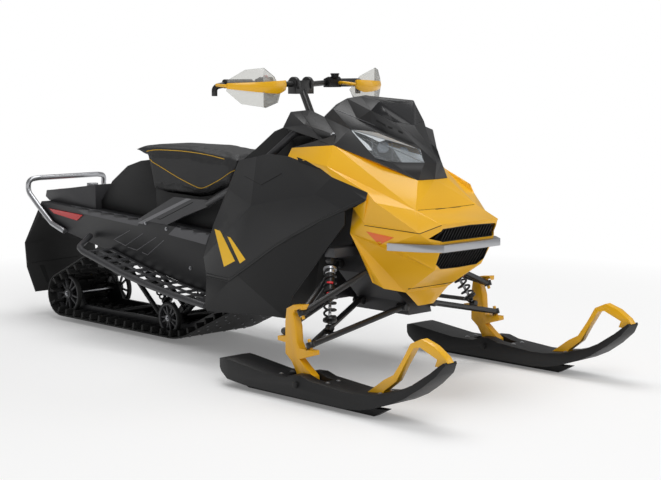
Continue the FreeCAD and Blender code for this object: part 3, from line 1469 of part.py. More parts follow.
# The space inside the lower nose, which the grilles are trimmed to.
nose_names = ["y_nose", "l_bumper", "l_chin"]
nose_side = [(hull_corner(name).y + mm("fit_gap"), hull_corner(name).z) for name in nose_names]
nose_side += [(nose_side[0][0] + mm("grille_reach"), z) for z in (nose_side[-1][1], nose_side[0][1])]
nose_space = side_prism(nose_side, -mm("grille_half_width"), mm("grille_half_width"))
side_inset = mm("panel_thickness") * 0.6
plan_front, plan_rear = hull_corner("l_bumper"), hull_corner("l_side")
plan_slope = (plan_rear.x - plan_front.x) / (plan_rear.y - plan_front.y)
plan_start = nose_side[0][0] - mm("overrun")
plan_end = plan_start + 2 * mm("grille_reach")
half_plan = [
    Vector(plan_front.x - side_inset + (y - plan_front.y) * plan_slope, y, 0)
    for y in (plan_start, plan_end)
]
plan_ring = half_plan + [Vector(-p.x, p.y, 0) for p in half_plan[::-1]]
plan_face = Part.Face(Part.makePolygon(plan_ring + plan_ring[:1]))
nose_space = nose_space.common(plan_face.extrude(Vector(0, 0, mm("hull_height"))))

grille_rows = []
for row in grille_shares:
    window = grille_opening(row, mm("fit_gap"))
    inner_window = grille_opening(row, mm("fit_gap") + mm("grille_thickness"))
    top_z = grille_tops[row]
    low_z = top_z - grille_heights[row]
    depth = mm("grille_depth")
    inside = nose_space.common(window)
    frame = inside.cut(inner_window).cut(moved_back(nose_space, depth))
    recessed = moved_back(nose_space, mm("grille_recess"))
    backing = inside.common(moved_back(nose_space, depth - mm("grille_thickness")))
    backing = backing.cut(moved_back(nose_space, depth))
    slat_count = math.ceil(2 * (mm("grille_half_width") + mm("slat_slant")) / mm("slat_pitch"))
    slats = [slat(number, low_z, top_z, plan_start) for number in range(slat_count)]
    slats = slats[0].multiFuse(slats[1:]).common(inside).common(recessed)
    slats = slats.cut(moved_back(nose_space, depth))
    row_solid = join_all([frame, backing] + slats.Solids).cut(lower_shell)
    grille_rows.append(max(row_solid.Solids, key=lambda solid: solid.Volume))
feature("front_grilles", Part.makeCompound(grille_rows))
for panel in ("nose_cowl", "hood", "windshield"):
    feature(panel, panel_solid(hull_triangles[panel]))
for panel in ("headlamp_lenses", "console"):
    halves = [panel_solid(half_of(hull_triangles[panel], side)) for side in (1, -1)]
    feature(panel, Part.makeCompound(halves))
for side_name, side in (("left", 1), ("right", -1)):
    feature(f"side_panel_{side_name}", panel_solid(half_of(hull_triangles["side_panel"], side)))

# Footwells: the outer panel with its floor and its sloped front wall.
skin = mm("panel_thickness")
floor_inner = mm("tunnel_half_width") + mm("fit_gap")
floor_rear, floor_front = hull_corner("f_rear_low"), hull_corner("f_front_low")
floor_z = floor_front.z - mm("footwell_floor_z")
floor_corners = [
    Vector(floor_inner, floor_rear.y, floor_z),
    Vector(hull_corner("f_rear").x - skin, floor_rear.y, floor_z),
    Vector(floor_front.x - skin / 2, floor_front.y, floor_z),
    Vector(floor_inner, floor_front.y, floor_z),
]
floor_face = Part.Face(Part.makePolygon(floor_corners + floor_corners[:1]))
floor_plate = floor_face.extrude(Vector(0, 0, skin))
wall_top = floor_z + mm("footwell_wall_height")
wall_points = [
    (floor_front.y, floor_z),
    (floor_front.y - mm("footwell_wall_lean"), wall_top),
    (floor_front.y - mm("footwell_wall_lean") + skin, wall_top),
    (floor_front.y + skin, floor_z),
]
toe_wall = side_prism(wall_points, floor_inner, hull_corner("f_front").x - skin)
footwell = join_all([
    panel_solid(half_of(hull_triangles["footwell"], 1)), floor_plate, toe_wall,
])
feature("footwell_left", footwell)
feature("footwell_right", mirrored(footwell))

# Front bumper: a flat bar round the nose between the two grilles.
def at(name, out=0.0, along=0.0, up=0.0):
    """A corner of the body panels, moved outwards, along the sled and up."""
    return hull_corner(name) + Vector(out, along, up)


bar_depth = mm("bumper_bar_depth")
bar_height = mm("bumper_bar_height")
bar_gap = mm("fit_gap")
bar_half = [
    at("l_side", bar_gap, 0, 0),
    at("l_bumper", bar_gap, -bar_gap, 0),
]
bar_rear = Vector(bar_half[0].x, bar_half[0].y, 0)
bar_corner = Vector(bar_half[1].x, bar_half[1].y - bar_gap, 0)
side_heading = (bar_rear - bar_corner).normalize()
side_normal = Vector(-side_heading.y, side_heading.x, 0)
if side_normal.x < 0:
    side_normal = side_normal * -1
bumper_plan = [
    bar_rear + side_normal * bar_gap,
    bar_corner + side_normal * bar_gap,
    Vector(bar_corner.x, bar_corner.y - bar_gap, 0),
    Vector(0, bar_corner.y - bar_gap, 0),
    Vector(0, bar_corner.y - bar_depth, 0),
    Vector(bar_corner.x + bar_depth * 0.3, bar_corner.y - bar_depth, 0),
    Vector(bar_corner.x + bar_depth * 1.8, bar_corner.y + bar_depth * 0.9, 0),
    bar_rear + side_normal * (bar_depth * 0.5),
]
bumper_face = Part.Face(Part.makePolygon(bumper_plan + bumper_plan[:1]))
bumper_half = bumper_face.extrude(Vector(0, 0, bar_height))
bumper_bar = join_all([bumper_half, mirrored(bumper_half)])
bumper_bar.translate(Vector(0, 0, at("l_bumper").z - bar_height * 0.4))
bumper_bar = bumper_bar.cut(panel_solid(hull_triangles["nose_lower"]))
bumper_bar = max(bumper_bar.Solids, key=lambda solid: solid.Volume)
feature("front_bumper", bumper_bar)

# Front frame module: a tapered casting that carries the arms, with the shock towers on top.
module_front = mm("module_front_y")
module_rear = module_front + mm("module_length")
module_low = mm("module_base_z")
module_high = module_low + mm("module_height")
module_section = [
    (mm("module_base_half_width"), module_low),
    (mm("module_base_half_width"), module_low + mm("module_height") * 0.22),
    (mm("module_top_half_width"), module_low + mm("module_height") * 0.70),
    (mm("module_top_half_width"), module_high),
]
module_ring = [Vector(x, module_rear, z) for x, z in module_section]
module_ring += [Vector(-p.x, p.y, p.z) for p in module_ring[::-1]]
module_face = Part.Face(Part.makePolygon(module_ring + module_ring[:1]))
module_body = module_face.extrude(Vector(0, -mm("module_length"), 0))
nose_cut = [
    (module_front - mm("overrun"), module_low - mm("overrun")),
    (module_front + mm("module_length") * 0.05, module_low - mm("overrun")),
    (module_front + mm("module_length") * 0.28, module_high + mm("overrun")),
    (module_front - mm("overrun"), module_high + mm("overrun")),
]
module_body = module_body.cut(
    side_prism(nose_cut, -mm("tower_half_width"), mm("tower_half_width"))
)
tower_low = mm("shock_top_z") - mm("shock_eye_radius")
towers = Part.makeBox(
    2 * mm("tower_half_width"), mm("tower_depth"), mm("tower_height"),
    Vector(
        -mm("tower_half_width"), mm("shock_top_y") - mm("tower_depth") / 2,
        tower_low + 2 * mm("shock_eye_radius") + mm("fit_gap"),
    ),
)
tower_post = Part.makeBox(
    2 * mm("module_top_half_width"), mm("tower_depth"),
    mm("tower_height") + 2 * mm("shock_eye_radius"),
    Vector(-mm("module_top_half_width"), mm("shock_top_y") - mm("tower_depth") / 2, tower_low),
)
engine_clear = Part.makeBox(
    2 * mm("tower_half_width"), mm("tower_depth"), mm("engine_height"),
    Vector(-mm("tower_half_width"), mm("engine_front_y") - mm("fit_gap"), mm("engine_base_z")),
)
feature(
    "front_module", join_all([module_body, towers, tower_post]).cut(engine_clear)
)

# Suspension arms: two tubes from their inner bushes to an eye on the steering axis.
lower_ball = Vector(mm("ski_x"), mm("lower_ball_y"), mm("lower_ball_z"))
upper_ball = Vector(mm("ski_x"), mm("upper_ball_y"), mm("upper_ball_z"))
steer_axis = (upper_ball - lower_ball).normalize()


def arm(front, rear, ball):
    """A two-legged arm with an eye at the ball joint."""
    half_bush = mm("arm_bush_length") / 2
    along = Vector(0, 1, 0)
    bushes = [
        rod(p - along * half_bush, p + along * half_bush, mm("arm_bush_radius"))
        for p in (front, rear)
    ]
    half_eye = mm("ball_housing_height") / 2
    housing = rod(
        ball - steer_axis * half_eye, ball + steer_axis * half_eye, mm("ball_housing_radius"),
    )
    legs = [rod(p, ball, mm("arm_tube_radius")) for p in (front, rear)]
    shape = join_all(legs + bushes + [housing])
    bore = rod(
        ball - steer_axis * mm("ball_housing_radius") * 2,
        ball + steer_axis * mm("ball_housing_radius") * 2,
        mm("stud_radius") + mm("pin_gap"),
    )
    clear = [
        rod(
            ball + steer_axis * (half_eye * side),
            ball + steer_axis * (side * mm("ball_housing_radius") * 2),
            mm("ball_housing_radius") * 1.6,
        )
        for side in (-1, 1)
    ]
    return shape.cut(bore).cut(clear[0]).cut(clear[1])


lower_arm_x = mm("module_base_half_width") + mm("arm_bush_radius") + mm("fit_gap")
upper_arm_x = mm("module_top_half_width") + mm("arm_bush_radius") + mm("fit_gap")
lower_front = Vector(lower_arm_x, mm("lower_arm_front_y"), mm("lower_arm_z"))
lower_rear = Vector(lower_arm_x, mm("lower_arm_rear_y"), mm("lower_arm_z"))
upper_front = Vector(upper_arm_x, mm("upper_arm_front_y"), mm("upper_arm_z"))
upper_rear = Vector(upper_arm_x, mm("upper_arm_rear_y"), mm("upper_arm_z"))
shock_low_share = (mm("shock_low_x") - lower_front.x) / (lower_ball.x - lower_front.x)
shock_leg_front = lower_front + (lower_ball - lower_front) * shock_low_share
shock_leg_rear = lower_rear + (lower_ball - lower_rear) * shock_low_share
shock_low = Vector(
    mm("shock_low_x"), (shock_leg_front.y + shock_leg_rear.y) / 2, mm("shock_low_z"),
)
shock_top = Vector(mm("shock_top_x"), mm("shock_top_y"), mm("shock_top_z"))
saddle_low = min(shock_leg_front.z, shock_leg_rear.z)
saddle = Part.makeBox(
    2 * mm("shock_eye_radius"), shock_leg_rear.y - shock_leg_front.y,
    shock_low.z - mm("shock_eye_radius") - mm("fit_gap") - saddle_low,
    Vector(shock_low.x - mm("shock_eye_radius"), shock_leg_front.y, saddle_low),
)
lower_arm = join_all([arm(lower_front, lower_rear, lower_ball), saddle])
upper_arm = arm(upper_front, upper_rear, upper_ball)
front_shock = shock(shock_top, shock_low, Vector(0, 1, 0))
for label, shape in (
    ("lower_arm", lower_arm), ("upper_arm", upper_arm), ("front_shock", front_shock),
):
    feature(f"{label}_left", shape)
    feature(f"{label}_right", mirrored(shape))

# Spindles: forged uprights between the arms and the skis.
spindle_shares = [
    (0.804, 0.911), (0.662, 0.968), (0.458, 0.986), (0.458, 0.925), (0.633, 0.907),
    (0.667, 0.854), (0.6, 0.704), (0.583, 0.507), (0.533, 0.432), (0.25, 0.432),
    (0.242, 0.375), (0.537, 0.296), (0.417, 0.214), (0.25, 0.114), (0.229, -0.036),
    (0.542, -0.036), (0.604, 0.129), (0.704, 0.254), (0.833, 0.339), (0.833, 0.479),
    (1.0, 0.486), (1.0, 0.543), (0.833, 0.557), (0.833, 0.736),
]
loop_shares = [
    (0.994, 0.027), (0.775, 0.282), (0.658, 0.382), (0.544, 0.645), (0.45, 0.9), (0.319, 0.995),
    (0.169, 0.918), (0.042, 0.786), (0.005, 0.709), (0.035, 0.62), (0.156, 0.63),
    (0.131, 0.736), (0.336, 0.868), (0.411, 0.841), (0.525, 0.555), (0.619, 0.295),
    (0.774, 0.105), (0.79, 0.027),
]
ski_shares = [
    (1.0, 0.38), (0.975, 0.226), (0.938, 0.135), (0.846, 0.096), (0.762, 0.087), (0.379, 0.087),
    (0.319, 0.113), (0.265, 0.174), (0.19, 0.296), (0.137, 0.413), (0.074, 0.609),
    (0.024, 0.804), (0.0, 0.965), (0.006, 0.991), (0.047, 0.826), (0.107, 0.63),
    (0.159, 0.513), (0.255, 0.383), (0.329, 0.339), (0.382, 0.33), (0.493, 0.365),
    (0.536, 0.383), (0.576, 0.435), (0.615, 0.426), (0.652, 0.357), (0.75, 0.357),
    (0.865, 0.413), (0.953, 0.465), (0.984, 0.435),
]


def outline_points(shares, start_y, start_z, length, height):
    """Side view corners from shares of a length and a height."""
    return [(start_y + length * along, start_z + height * up) for along, up in shares]


# The spindle's turn each way, in degrees.
steer_lock = 30
tie_lug_top = mm("spindle_z") + mm("spindle_height") * spindle_shares[-2][1]
tie_outer = Vector(
    mm("ski_x"), mm("tie_ball_y"), tie_lug_top + mm("tie_ball_radius") + mm("fit_gap"),
)
tie_stud_end = tie_outer - steer_axis * (mm("tie_ball_radius") * 2.6)


def arm_relief(front, rear, ball):
    """The space that an arm's legs need in the turning spindle, 5 mm clear of them."""
    legs = [rod(p, ball, mm("arm_tube_radius") + mm("eye_gap")) for p in (front, rear)]
    step_count = 6
    turned = []
    for leg in legs:
        for number in range(step_count + 1):
            copy = leg.copy()
            angle = steer_lock * (2 * number / step_count - 1)
            copy.rotate(ball, steer_axis, angle)
            turned.append(copy)
    return turned[0].multiFuse(turned[1:])


def spindle_solid():
    """The rider's left spindle with its studs."""
    half = mm("spindle_thickness") / 2
    profile = outline_points(
        spindle_shares, mm("spindle_y"), mm("spindle_z"), mm("spindle_depth"),
        mm("spindle_height"),
    )
    plate = side_prism(profile, mm("ski_x") - half, mm("ski_x") + half)
    pivot = Vector(mm("ski_x"), mm("ski_pivot_y"), mm("ski_pivot_z"))
    across = Vector(1, 0, 0)
    plate = plate.cut(rod(
        pivot - across * half * 2, pivot + across * half * 2,
        mm("ski_pivot_radius") + mm("pin_gap"),
    ))
    plate = plate.cut(rod(tie_outer, tie_stud_end - steer_axis, mm("stud_radius") + mm("pin_gap")))
    for front, rear, ball in (
        (lower_front, lower_rear, lower_ball), (upper_front, upper_rear, upper_ball),
    ):
        plate = plate.cut(arm_relief(front, rear, ball))
    half_eye = mm("ball_housing_height") / 2
    for ball in (lower_ball, upper_ball):
        reach = half_eye + mm("eye_gap")
        plate = plate.cut(rod(
            ball - steer_axis * reach, ball + steer_axis * reach,
            mm("ball_housing_radius") + mm("eye_gap"),
        ))
    studs = [
        rod(
            ball - steer_axis * (half_eye * 2.2), ball + steer_axis * (half_eye * 2.2),
            mm("stud_radius"),
        )
        for ball in (lower_ball, upper_ball)
    ]
    return join_all([plate] + studs)


spindle = spindle_solid()
feature("spindle_left", spindle)
feature("spindle_right", mirrored(spindle))


def ski_solid():
    """The rider's left ski with its keel, channel and pivot bolt."""
    half = mm("ski_half_width")
    profile = outline_points(ski_shares, mm("ski_tip_y"), 0, mm("ski_length"), mm("ski_height"))
    plank = side_prism(profile, mm("ski_x") - half, mm("ski_x") + half)
    tip = mm("ski_tip_y")
    length = mm("ski_length")
    plan_shares = [
        (0.0, 0.42), (0.02, 0.62), (0.10, 0.86), (0.22, 1.0), (0.93, 1.0), (0.985, 0.84),
        (1.0, 0.6),
    ]
    plan = [Vector(mm("ski_x") + half * out, tip + length * along, 0) for along, out in plan_shares]
    plan += [
        Vector(mm("ski_x") - half * out, tip + length * along, 0)
        for along, out in plan_shares[::-1]
    ]
    plan_face = Part.Face(Part.makePolygon(plan + plan[:1]))
    plank = plank.common(plan_face.extrude(Vector(0, 0, mm("ski_height") * 1.1)))
    channel = Part.makeBox(
        2 * mm("ski_channel_half_width"), mm("ski_channel_length"), mm("ski_height"),
        Vector(
            mm("ski_x") - mm("ski_channel_half_width"), mm("ski_channel_front_y"),
            mm("ski_channel_base_z"),
        ),
    )
    plank = plank.cut(channel)
    keel_outline = [
        (mm("keel_front_y"), mm("keel_height") * 1.6),
        (mm("keel_front_y") + mm("keel_ramp"), 0),
        (mm("keel_front_y") + mm("keel_length"), 0),
        (mm("keel_front_y") + mm("keel_length") + mm("keel_ramp"), mm("keel_height")),
        (mm("keel_front_y") + mm("keel_length"), mm("ski_channel_base_z") * 0.8),
        (mm("keel_front_y") + mm("keel_ramp"), mm("ski_channel_base_z") * 0.8),
    ]
    keel = side_prism(
        keel_outline, mm("ski_x") - mm("keel_half_width"), mm("ski_x") + mm("keel_half_width"),
    )
    pivot = Vector(mm("ski_x"), mm("ski_pivot_y"), mm("ski_pivot_z"))
    across = Vector(1, 0, 0)
    reach = half + mm("ski_bolt_head_height")
    bolt = rod(pivot - across * half, pivot + across * half, mm("ski_pivot_radius"))
    heads = [
        rod(pivot + across * (side * half * 0.9), pivot + across * (side * reach),
            mm("ski_bolt_head_radius"))
        for side in (-1, 1)
    ]
    return join_all([plank, keel, bolt] + heads)


ski = ski_solid()
loop_profile = outline_points(
    loop_shares, mm("ski_tip_y"), mm("loop_base_z"), mm("loop_length"), mm("loop_height"),
)
loop_solid = side_prism(
    loop_profile, mm("ski_x") - mm("loop_half_width"), mm("ski_x") + mm("loop_half_width"),
).cut(ski)
loop_solid = max(loop_solid.Solids, key=lambda solid: solid.Volume)
for label, shape in (("ski", ski), ("ski_loop", loop_solid)):
    feature(f"{label}_left", shape)
    feature(f"{label}_right", mirrored(shape))

# Tie rods: a ball end over each spindle's steering arm, a rod and an inner ball end.
tie_inner = Vector(mm("tie_inner_x"), mm("tie_inner_y"), mm("tie_inner_z"))
tie_balls = [Part.makeSphere(mm("tie_ball_radius"), centre) for centre in (tie_outer, tie_inner)]
tie_rod = join_all(
    [rod(tie_outer, tie_inner, mm("tie_rod_radius")), rod(tie_outer, tie_stud_end, mm("stud_radius"))]
    + tie_balls
)
feature("tie_rod_left", tie_rod)
feature("tie_rod_right", mirrored(tie_rod))

# Handlebar on its post, with grips, guards and controls.
post_low = post_top - post_axis * mm("post_length")
bar_half_points = [
    Vector(mm("bar_centre_x"), mm("bar_y"), mm("bar_z")),
    Vector(mm("bar_rise_x"), (mm("bar_y") + mm("bar_grip_y")) / 2, mm("bar_grip_z")),
    Vector(mm("bar_end_x") - mm("bar_bend"), mm("bar_grip_y"), mm("bar_grip_z")),
    Vector(mm("bar_end_x"), mm("bar_end_y"), mm("bar_grip_z") - mm("bar_bend") * 0.25),
    Vector(mm("bar_end_x"), mm("bar_end_y"), mm("bar_hook_z")),
]
bar_points = [Vector(-p.x, p.y, p.z) for p in bar_half_points[::-1]] + bar_half_points
bar_tube = pipe(bar_points, mm("bar_radius"), mm("bar_bend"))
clamp = Part.makeBox(
    2 * mm("clamp_half_width"), mm("clamp_depth"), mm("clamp_height"),
    Vector(
        -mm("clamp_half_width"), mm("bar_y") - mm("clamp_depth") / 2,
        mm("bar_z") - mm("clamp_height") * 0.72,
    ),
)
feature("handlebar", join_all([bar_tube, clamp, rod(post_low, post_top, mm("post_radius"))]))

grip_line = (bar_half_points[2] - bar_half_points[1]).normalize()
grip_base = bar_half_points[1] + grip_line * ((mm("grip_x") - bar_half_points[1].x) / grip_line.x)
grip = rod(grip_base, grip_base + grip_line * mm("grip_length"), mm("grip_radius"))
grip = grip.cut(bar_tube)
grip = max(grip.Solids, key=lambda solid: solid.Volume)
feature("grips", both_sides(grip))

# Hand guards: a clear wind plate and a yellow bar before each grip.
guard_plan = [
    Vector(mm("guard_inner_x"), mm("guard_front_y") + mm("guard_drop"), 0),
    Vector((mm("guard_inner_x") + mm("guard_outer_x")) / 2, mm("guard_front_y"), 0),
    Vector(mm("guard_outer_x"), mm("guard_front_y") + mm("guard_sweep"), 0),
]
guard_profile_shares = [
    (0.0, 0.42), (0.10, 0.12), (0.45, 0.0), (0.80, 0.10), (1.0, 0.42), (0.98, 0.70),
    (0.75, 0.95), (0.50, 1.0), (0.20, 0.78),
]


def guard_strip(thickness, offset):
    """A bent strip seen from above, thickened forwards."""
    inner = [p - Vector(0, offset, 0) for p in guard_plan]
    outer = [p - Vector(0, thickness, 0) for p in inner[::-1]]
    return Part.Face(Part.makePolygon(inner + outer + inner[:1]))


plate = guard_strip(mm("guard_thickness"), 0).extrude(Vector(0, 0, mm("guard_height")))
plate.translate(Vector(0, 0, mm("guard_z")))
guard_width = mm("guard_outer_x") - mm("guard_inner_x")
profile = [
    Vector(
        mm("guard_inner_x") + guard_width * across, mm("guard_front_y") - mm("overrun"),
        mm("guard_z") + mm("guard_height") * up,
    )
    for across, up in guard_profile_shares
]
profile_face = Part.Face(Part.makePolygon(profile + profile[:1]))
profile_solid = profile_face.extrude(Vector(0, mm("guard_sweep") + 3 * mm("overrun"), 0))
plate = plate.common(profile_solid)
feature("wind_deflectors", both_sides(plate))

guard_bar = guard_strip(mm("guard_bar_thickness"), mm("guard_thickness") + mm("fit_gap"))
guard_bar = guard_bar.extrude(Vector(0, 0, mm("guard_bar_height")))
guard_bar.translate(Vector(0, 0, mm("guard_z") + mm("guard_height") * 0.30))
stay_x = mm("guard_inner_x") + mm("bar_radius")
stay_z = mm("guard_z") + mm("guard_height") * 0.5
stay_start = Vector(
    mm("grip_x") - 2 * mm("bar_radius"), mm("bar_grip_y") - mm("bar_radius"),
    stay_z + mm("bar_radius"),
)
stay_middle = Vector(
    mm("grip_x") - 3 * mm("bar_radius"), (mm("bar_grip_y") + mm("guard_front_y")) / 2, stay_z,
)
stay = pipe(
    [
        stay_start, stay_middle,
        Vector(stay_x, mm("guard_front_y") + mm("guard_drop") - mm("guard_thickness"), stay_z),
    ],
    mm("bar_radius") * 0.6, mm("bar_bend"),
)
stay = stay.cut(plate)
stay = stay.cut(rod(bar_half_points[1], bar_half_points[2], mm("bar_radius") + mm("fit_gap")))
stay = max(stay.Solids, key=lambda solid: solid.Volume)
feature("hand_guards", both_sides(join_all([guard_bar, stay])))

# Controls: a block on the bar inside each grip, with its lever ahead of the grip.
control_start = bar_half_points[1] + grip_line * (
    (mm("control_x") - bar_half_points[1].x) / grip_line.x
)
control_end = control_start + grip_line * mm("control_length")
control_block = side_prism(
    [
        (-mm("control_depth") * 0.72, -mm("control_height") * 0.42),
        (mm("control_depth") * 0.28, -mm("control_height") * 0.42),
        (mm("control_depth") * 0.28, mm("control_height") * 0.36),
        (-mm("control_depth") * 0.5, mm("control_height") * 0.58),
        (-mm("control_depth") * 0.72, mm("control_height") * 0.40),
    ],
    control_start.x, control_end.x,
)
control_block.translate(Vector(0, control_start.y, control_start.z))
lever_points = [
    Vector(control_end.x - mm("lever_width"), control_end.y - mm("control_depth") * 0.5,
           control_end.z),
    Vector(control_end.x + mm("lever_ahead"), control_end.y - mm("lever_ahead"), control_end.z),
    Vector(
        control_end.x + mm("lever_length"), control_end.y - mm("lever_ahead"),
        control_end.z - mm("lever_width") * 0.5,
    ),
]
lever = pipe(lever_points, mm("lever_thickness"), mm("bar_bend"))
controls = join_all([control_block, lever])
controls = controls.cut(bar_tube).cut(stay)
controls = max(controls.Solids, key=lambda solid: solid.Volume)
feature("bar_controls", both_sides(controls))

# Anchor ring on the rear deck, for a bag's or rack's quick pin.
deck_outline = [(along.value, up.value) for along, up in deck_points]
(near_y, near_z), (far_y, far_z) = deck_outline[2:4]
ring_z = near_z + (far_z - near_z) * (mm("ring_y") - near_y) / (far_y - near_y)
ring_seat = Vector(0, mm("ring_y"), ring_z - mm("ring_height"))
ring_tube = Part.makeCylinder(mm("ring_outer_radius"), 2 * mm("ring_height"), ring_seat)
ring_floor_at = Vector(0, mm("ring_y"), ring_z + mm("ring_floor"))
ring_bore = Part.makeCylinder(mm("ring_bore_radius"), mm("ring_height"), ring_floor_at)
deck_block = side_prism(deck_outline, -mm("deck_half_width"), mm("deck_half_width"))
feature("anchor_ring", ring_tube.cut(ring_bore).cut(deck_block))

doc.recompute()
nodes = [
    made for made in doc.Objects
    if made.TypeId in ("Part::Feature", "PartDesign::Body", "Part::MultiFuse")
    or made.Label in ("engine",)
]
whole = None
problems = []
for made in doc.Objects:
    if "Invalid" in made.State or "Error" in made.State:
        raise RuntimeError(f"{made.Label} failed: {made.State}")
for made in nodes:
    if made.Shape.isNull() or not made.Shape.isValid() or not made.Shape.Solids:
        problems.append(f"{made.Label} has no valid solid")
        continue
    box = made.Shape.BoundBox
    whole = box if whole is None else whole.united(box)
    print(
        f"{made.Label:20s} solids {len(made.Shape.Solids)} volume {made.Shape.Volume / 1000:9.1f} cm3",
        [round(v) for v in (box.XMin, box.XMax, box.YMin, box.YMax, box.ZMin, box.ZMax)],
    )
if problems:
    raise RuntimeError("; ".join(problems))
for made in nodes:
    made.Shape.exportStep(f"parts/{made.Label}.step")
print("sub-parts", len(nodes), "box", [
    round(v, 2) for v in (whole.XMin, whole.XMax, whole.YMin, whole.YMax, whole.ZMin, whole.ZMax)
])
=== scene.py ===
"""Dresses the packed snowmobile and sets up the view in which it is shown."""
import json
import logging
import math
from dataclasses import dataclass
from enum import Enum

import bmesh
import bpy
from mathutils import Matrix, Vector
from mathutils.bvhtree import BVHTree
from mathutils.geometry import convex_hull_2d, delaunay_2d_cdt


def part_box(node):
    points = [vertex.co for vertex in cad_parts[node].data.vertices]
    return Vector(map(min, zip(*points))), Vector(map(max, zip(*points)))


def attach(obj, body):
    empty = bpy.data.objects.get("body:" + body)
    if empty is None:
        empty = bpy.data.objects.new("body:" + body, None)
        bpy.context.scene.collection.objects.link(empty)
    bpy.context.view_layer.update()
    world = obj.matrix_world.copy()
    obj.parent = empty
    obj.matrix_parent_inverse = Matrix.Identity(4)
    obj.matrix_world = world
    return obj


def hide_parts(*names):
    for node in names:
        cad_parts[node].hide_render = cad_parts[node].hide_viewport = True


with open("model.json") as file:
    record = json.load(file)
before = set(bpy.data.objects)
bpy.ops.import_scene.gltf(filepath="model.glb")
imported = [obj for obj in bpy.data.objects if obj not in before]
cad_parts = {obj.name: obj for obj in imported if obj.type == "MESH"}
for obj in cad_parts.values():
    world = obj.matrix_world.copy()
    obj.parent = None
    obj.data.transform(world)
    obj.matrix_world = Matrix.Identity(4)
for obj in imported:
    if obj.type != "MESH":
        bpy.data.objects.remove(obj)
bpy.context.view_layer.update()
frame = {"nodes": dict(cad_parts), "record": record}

MM = 0.001
WELD = 0.02 * MM
SIDES = ((1, "left"), (-1, "right"))
Pixel = tuple[float, float]
Route = tuple[Pixel, ...]
Profile = list[tuple[float, float]]
log = logging.getLogger("dress")


class Slot(Enum):
    """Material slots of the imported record."""

    YELLOW_PLASTIC = "yellow_plastic"
    DARK_PLASTIC = "dark_plastic"
    BLACK_PLASTIC = "black_plastic"
    DARK_METAL = "dark_metal"
    BLACK_METAL = "black_metal"
    YELLOW_METAL = "yellow_metal"
    GREY_METAL = "grey_metal"
    SILVER_METAL = "silver_metal"
    STEEL = "steel"
    RUBBER = "rubber"
    VINYL = "vinyl"
    CLEAR_LENS = "clear_lens"
    SMOKED_PLASTIC = "smoked_plastic"
    CLEAR_PLASTIC = "clear_plastic"
    RED_LENS = "red_lens"
    ENGINE_METAL = "engine_metal"


class Grain(Enum):
    """Kinds of surface relief."""

    MOULDED = "moulded_grain"
    HIDE = "hide_grain"
    BRUSHED = "brushed_grain"


def srgb(red: int, green: int, blue: int) -> tuple[float, float, float]:
    """A display colour, 0 to 255, as linear values."""
    def channel(value: int) -> float:
        share = value / 255
        return share / 12.92 if share <= 0.04045 else ((share + 0.055) / 1.055) ** 2.4
    return channel(red), channel(green), channel(blue)


class Net:
    """A node tree being built: a call adds a node and feeds its inputs."""

    def __init__(self, tree: bpy.types.NodeTree) -> None:
        self.tree = tree

    def sockets(self, direction: str, **kinds: str) -> None:
        """Adds the tree's own sockets, each kind given by the socket's name."""
        for name, kind in kinds.items():
            self.tree.interface.new_socket(
                name=name, in_out=direction, socket_type=f"NodeSocket{kind}",
            )

    def feed(self, node: bpy.types.Node, feeds: dict) -> bpy.types.Node:
        """Sets a node's inputs.

        Args:
            node: The node.
            feeds: A value or another node's output for each input, by name or number.

        Returns:
            The same node.
        """
        for key, value in feeds.items():
            if isinstance(value, bpy.types.NodeSocket):
                self.tree.links.new(value, node.inputs[key])
            else:
                node.inputs[key].default_value = value
        return node

    def add(self, kind: str, feeds: dict | None = None, **settings) -> bpy.types.Node:
        """Adds a node, and makes its settings before its inputs are fed.

        Args:
            kind: The type of the node.
            feeds: The same as for feed.
            settings: Properties of the node itself.

        Returns:
            The node.
        """
        node = self.tree.nodes.new(kind)
        for name, value in settings.items():
            setattr(node, name, value)
        return self.feed(node, feeds or {})

    def math(self, operation: str, first, second) -> bpy.types.NodeSocket:
        """The output of a math node with two inputs."""
        return self.add("ShaderNodeMath", {0: first, 1: second}, operation=operation).outputs[0]


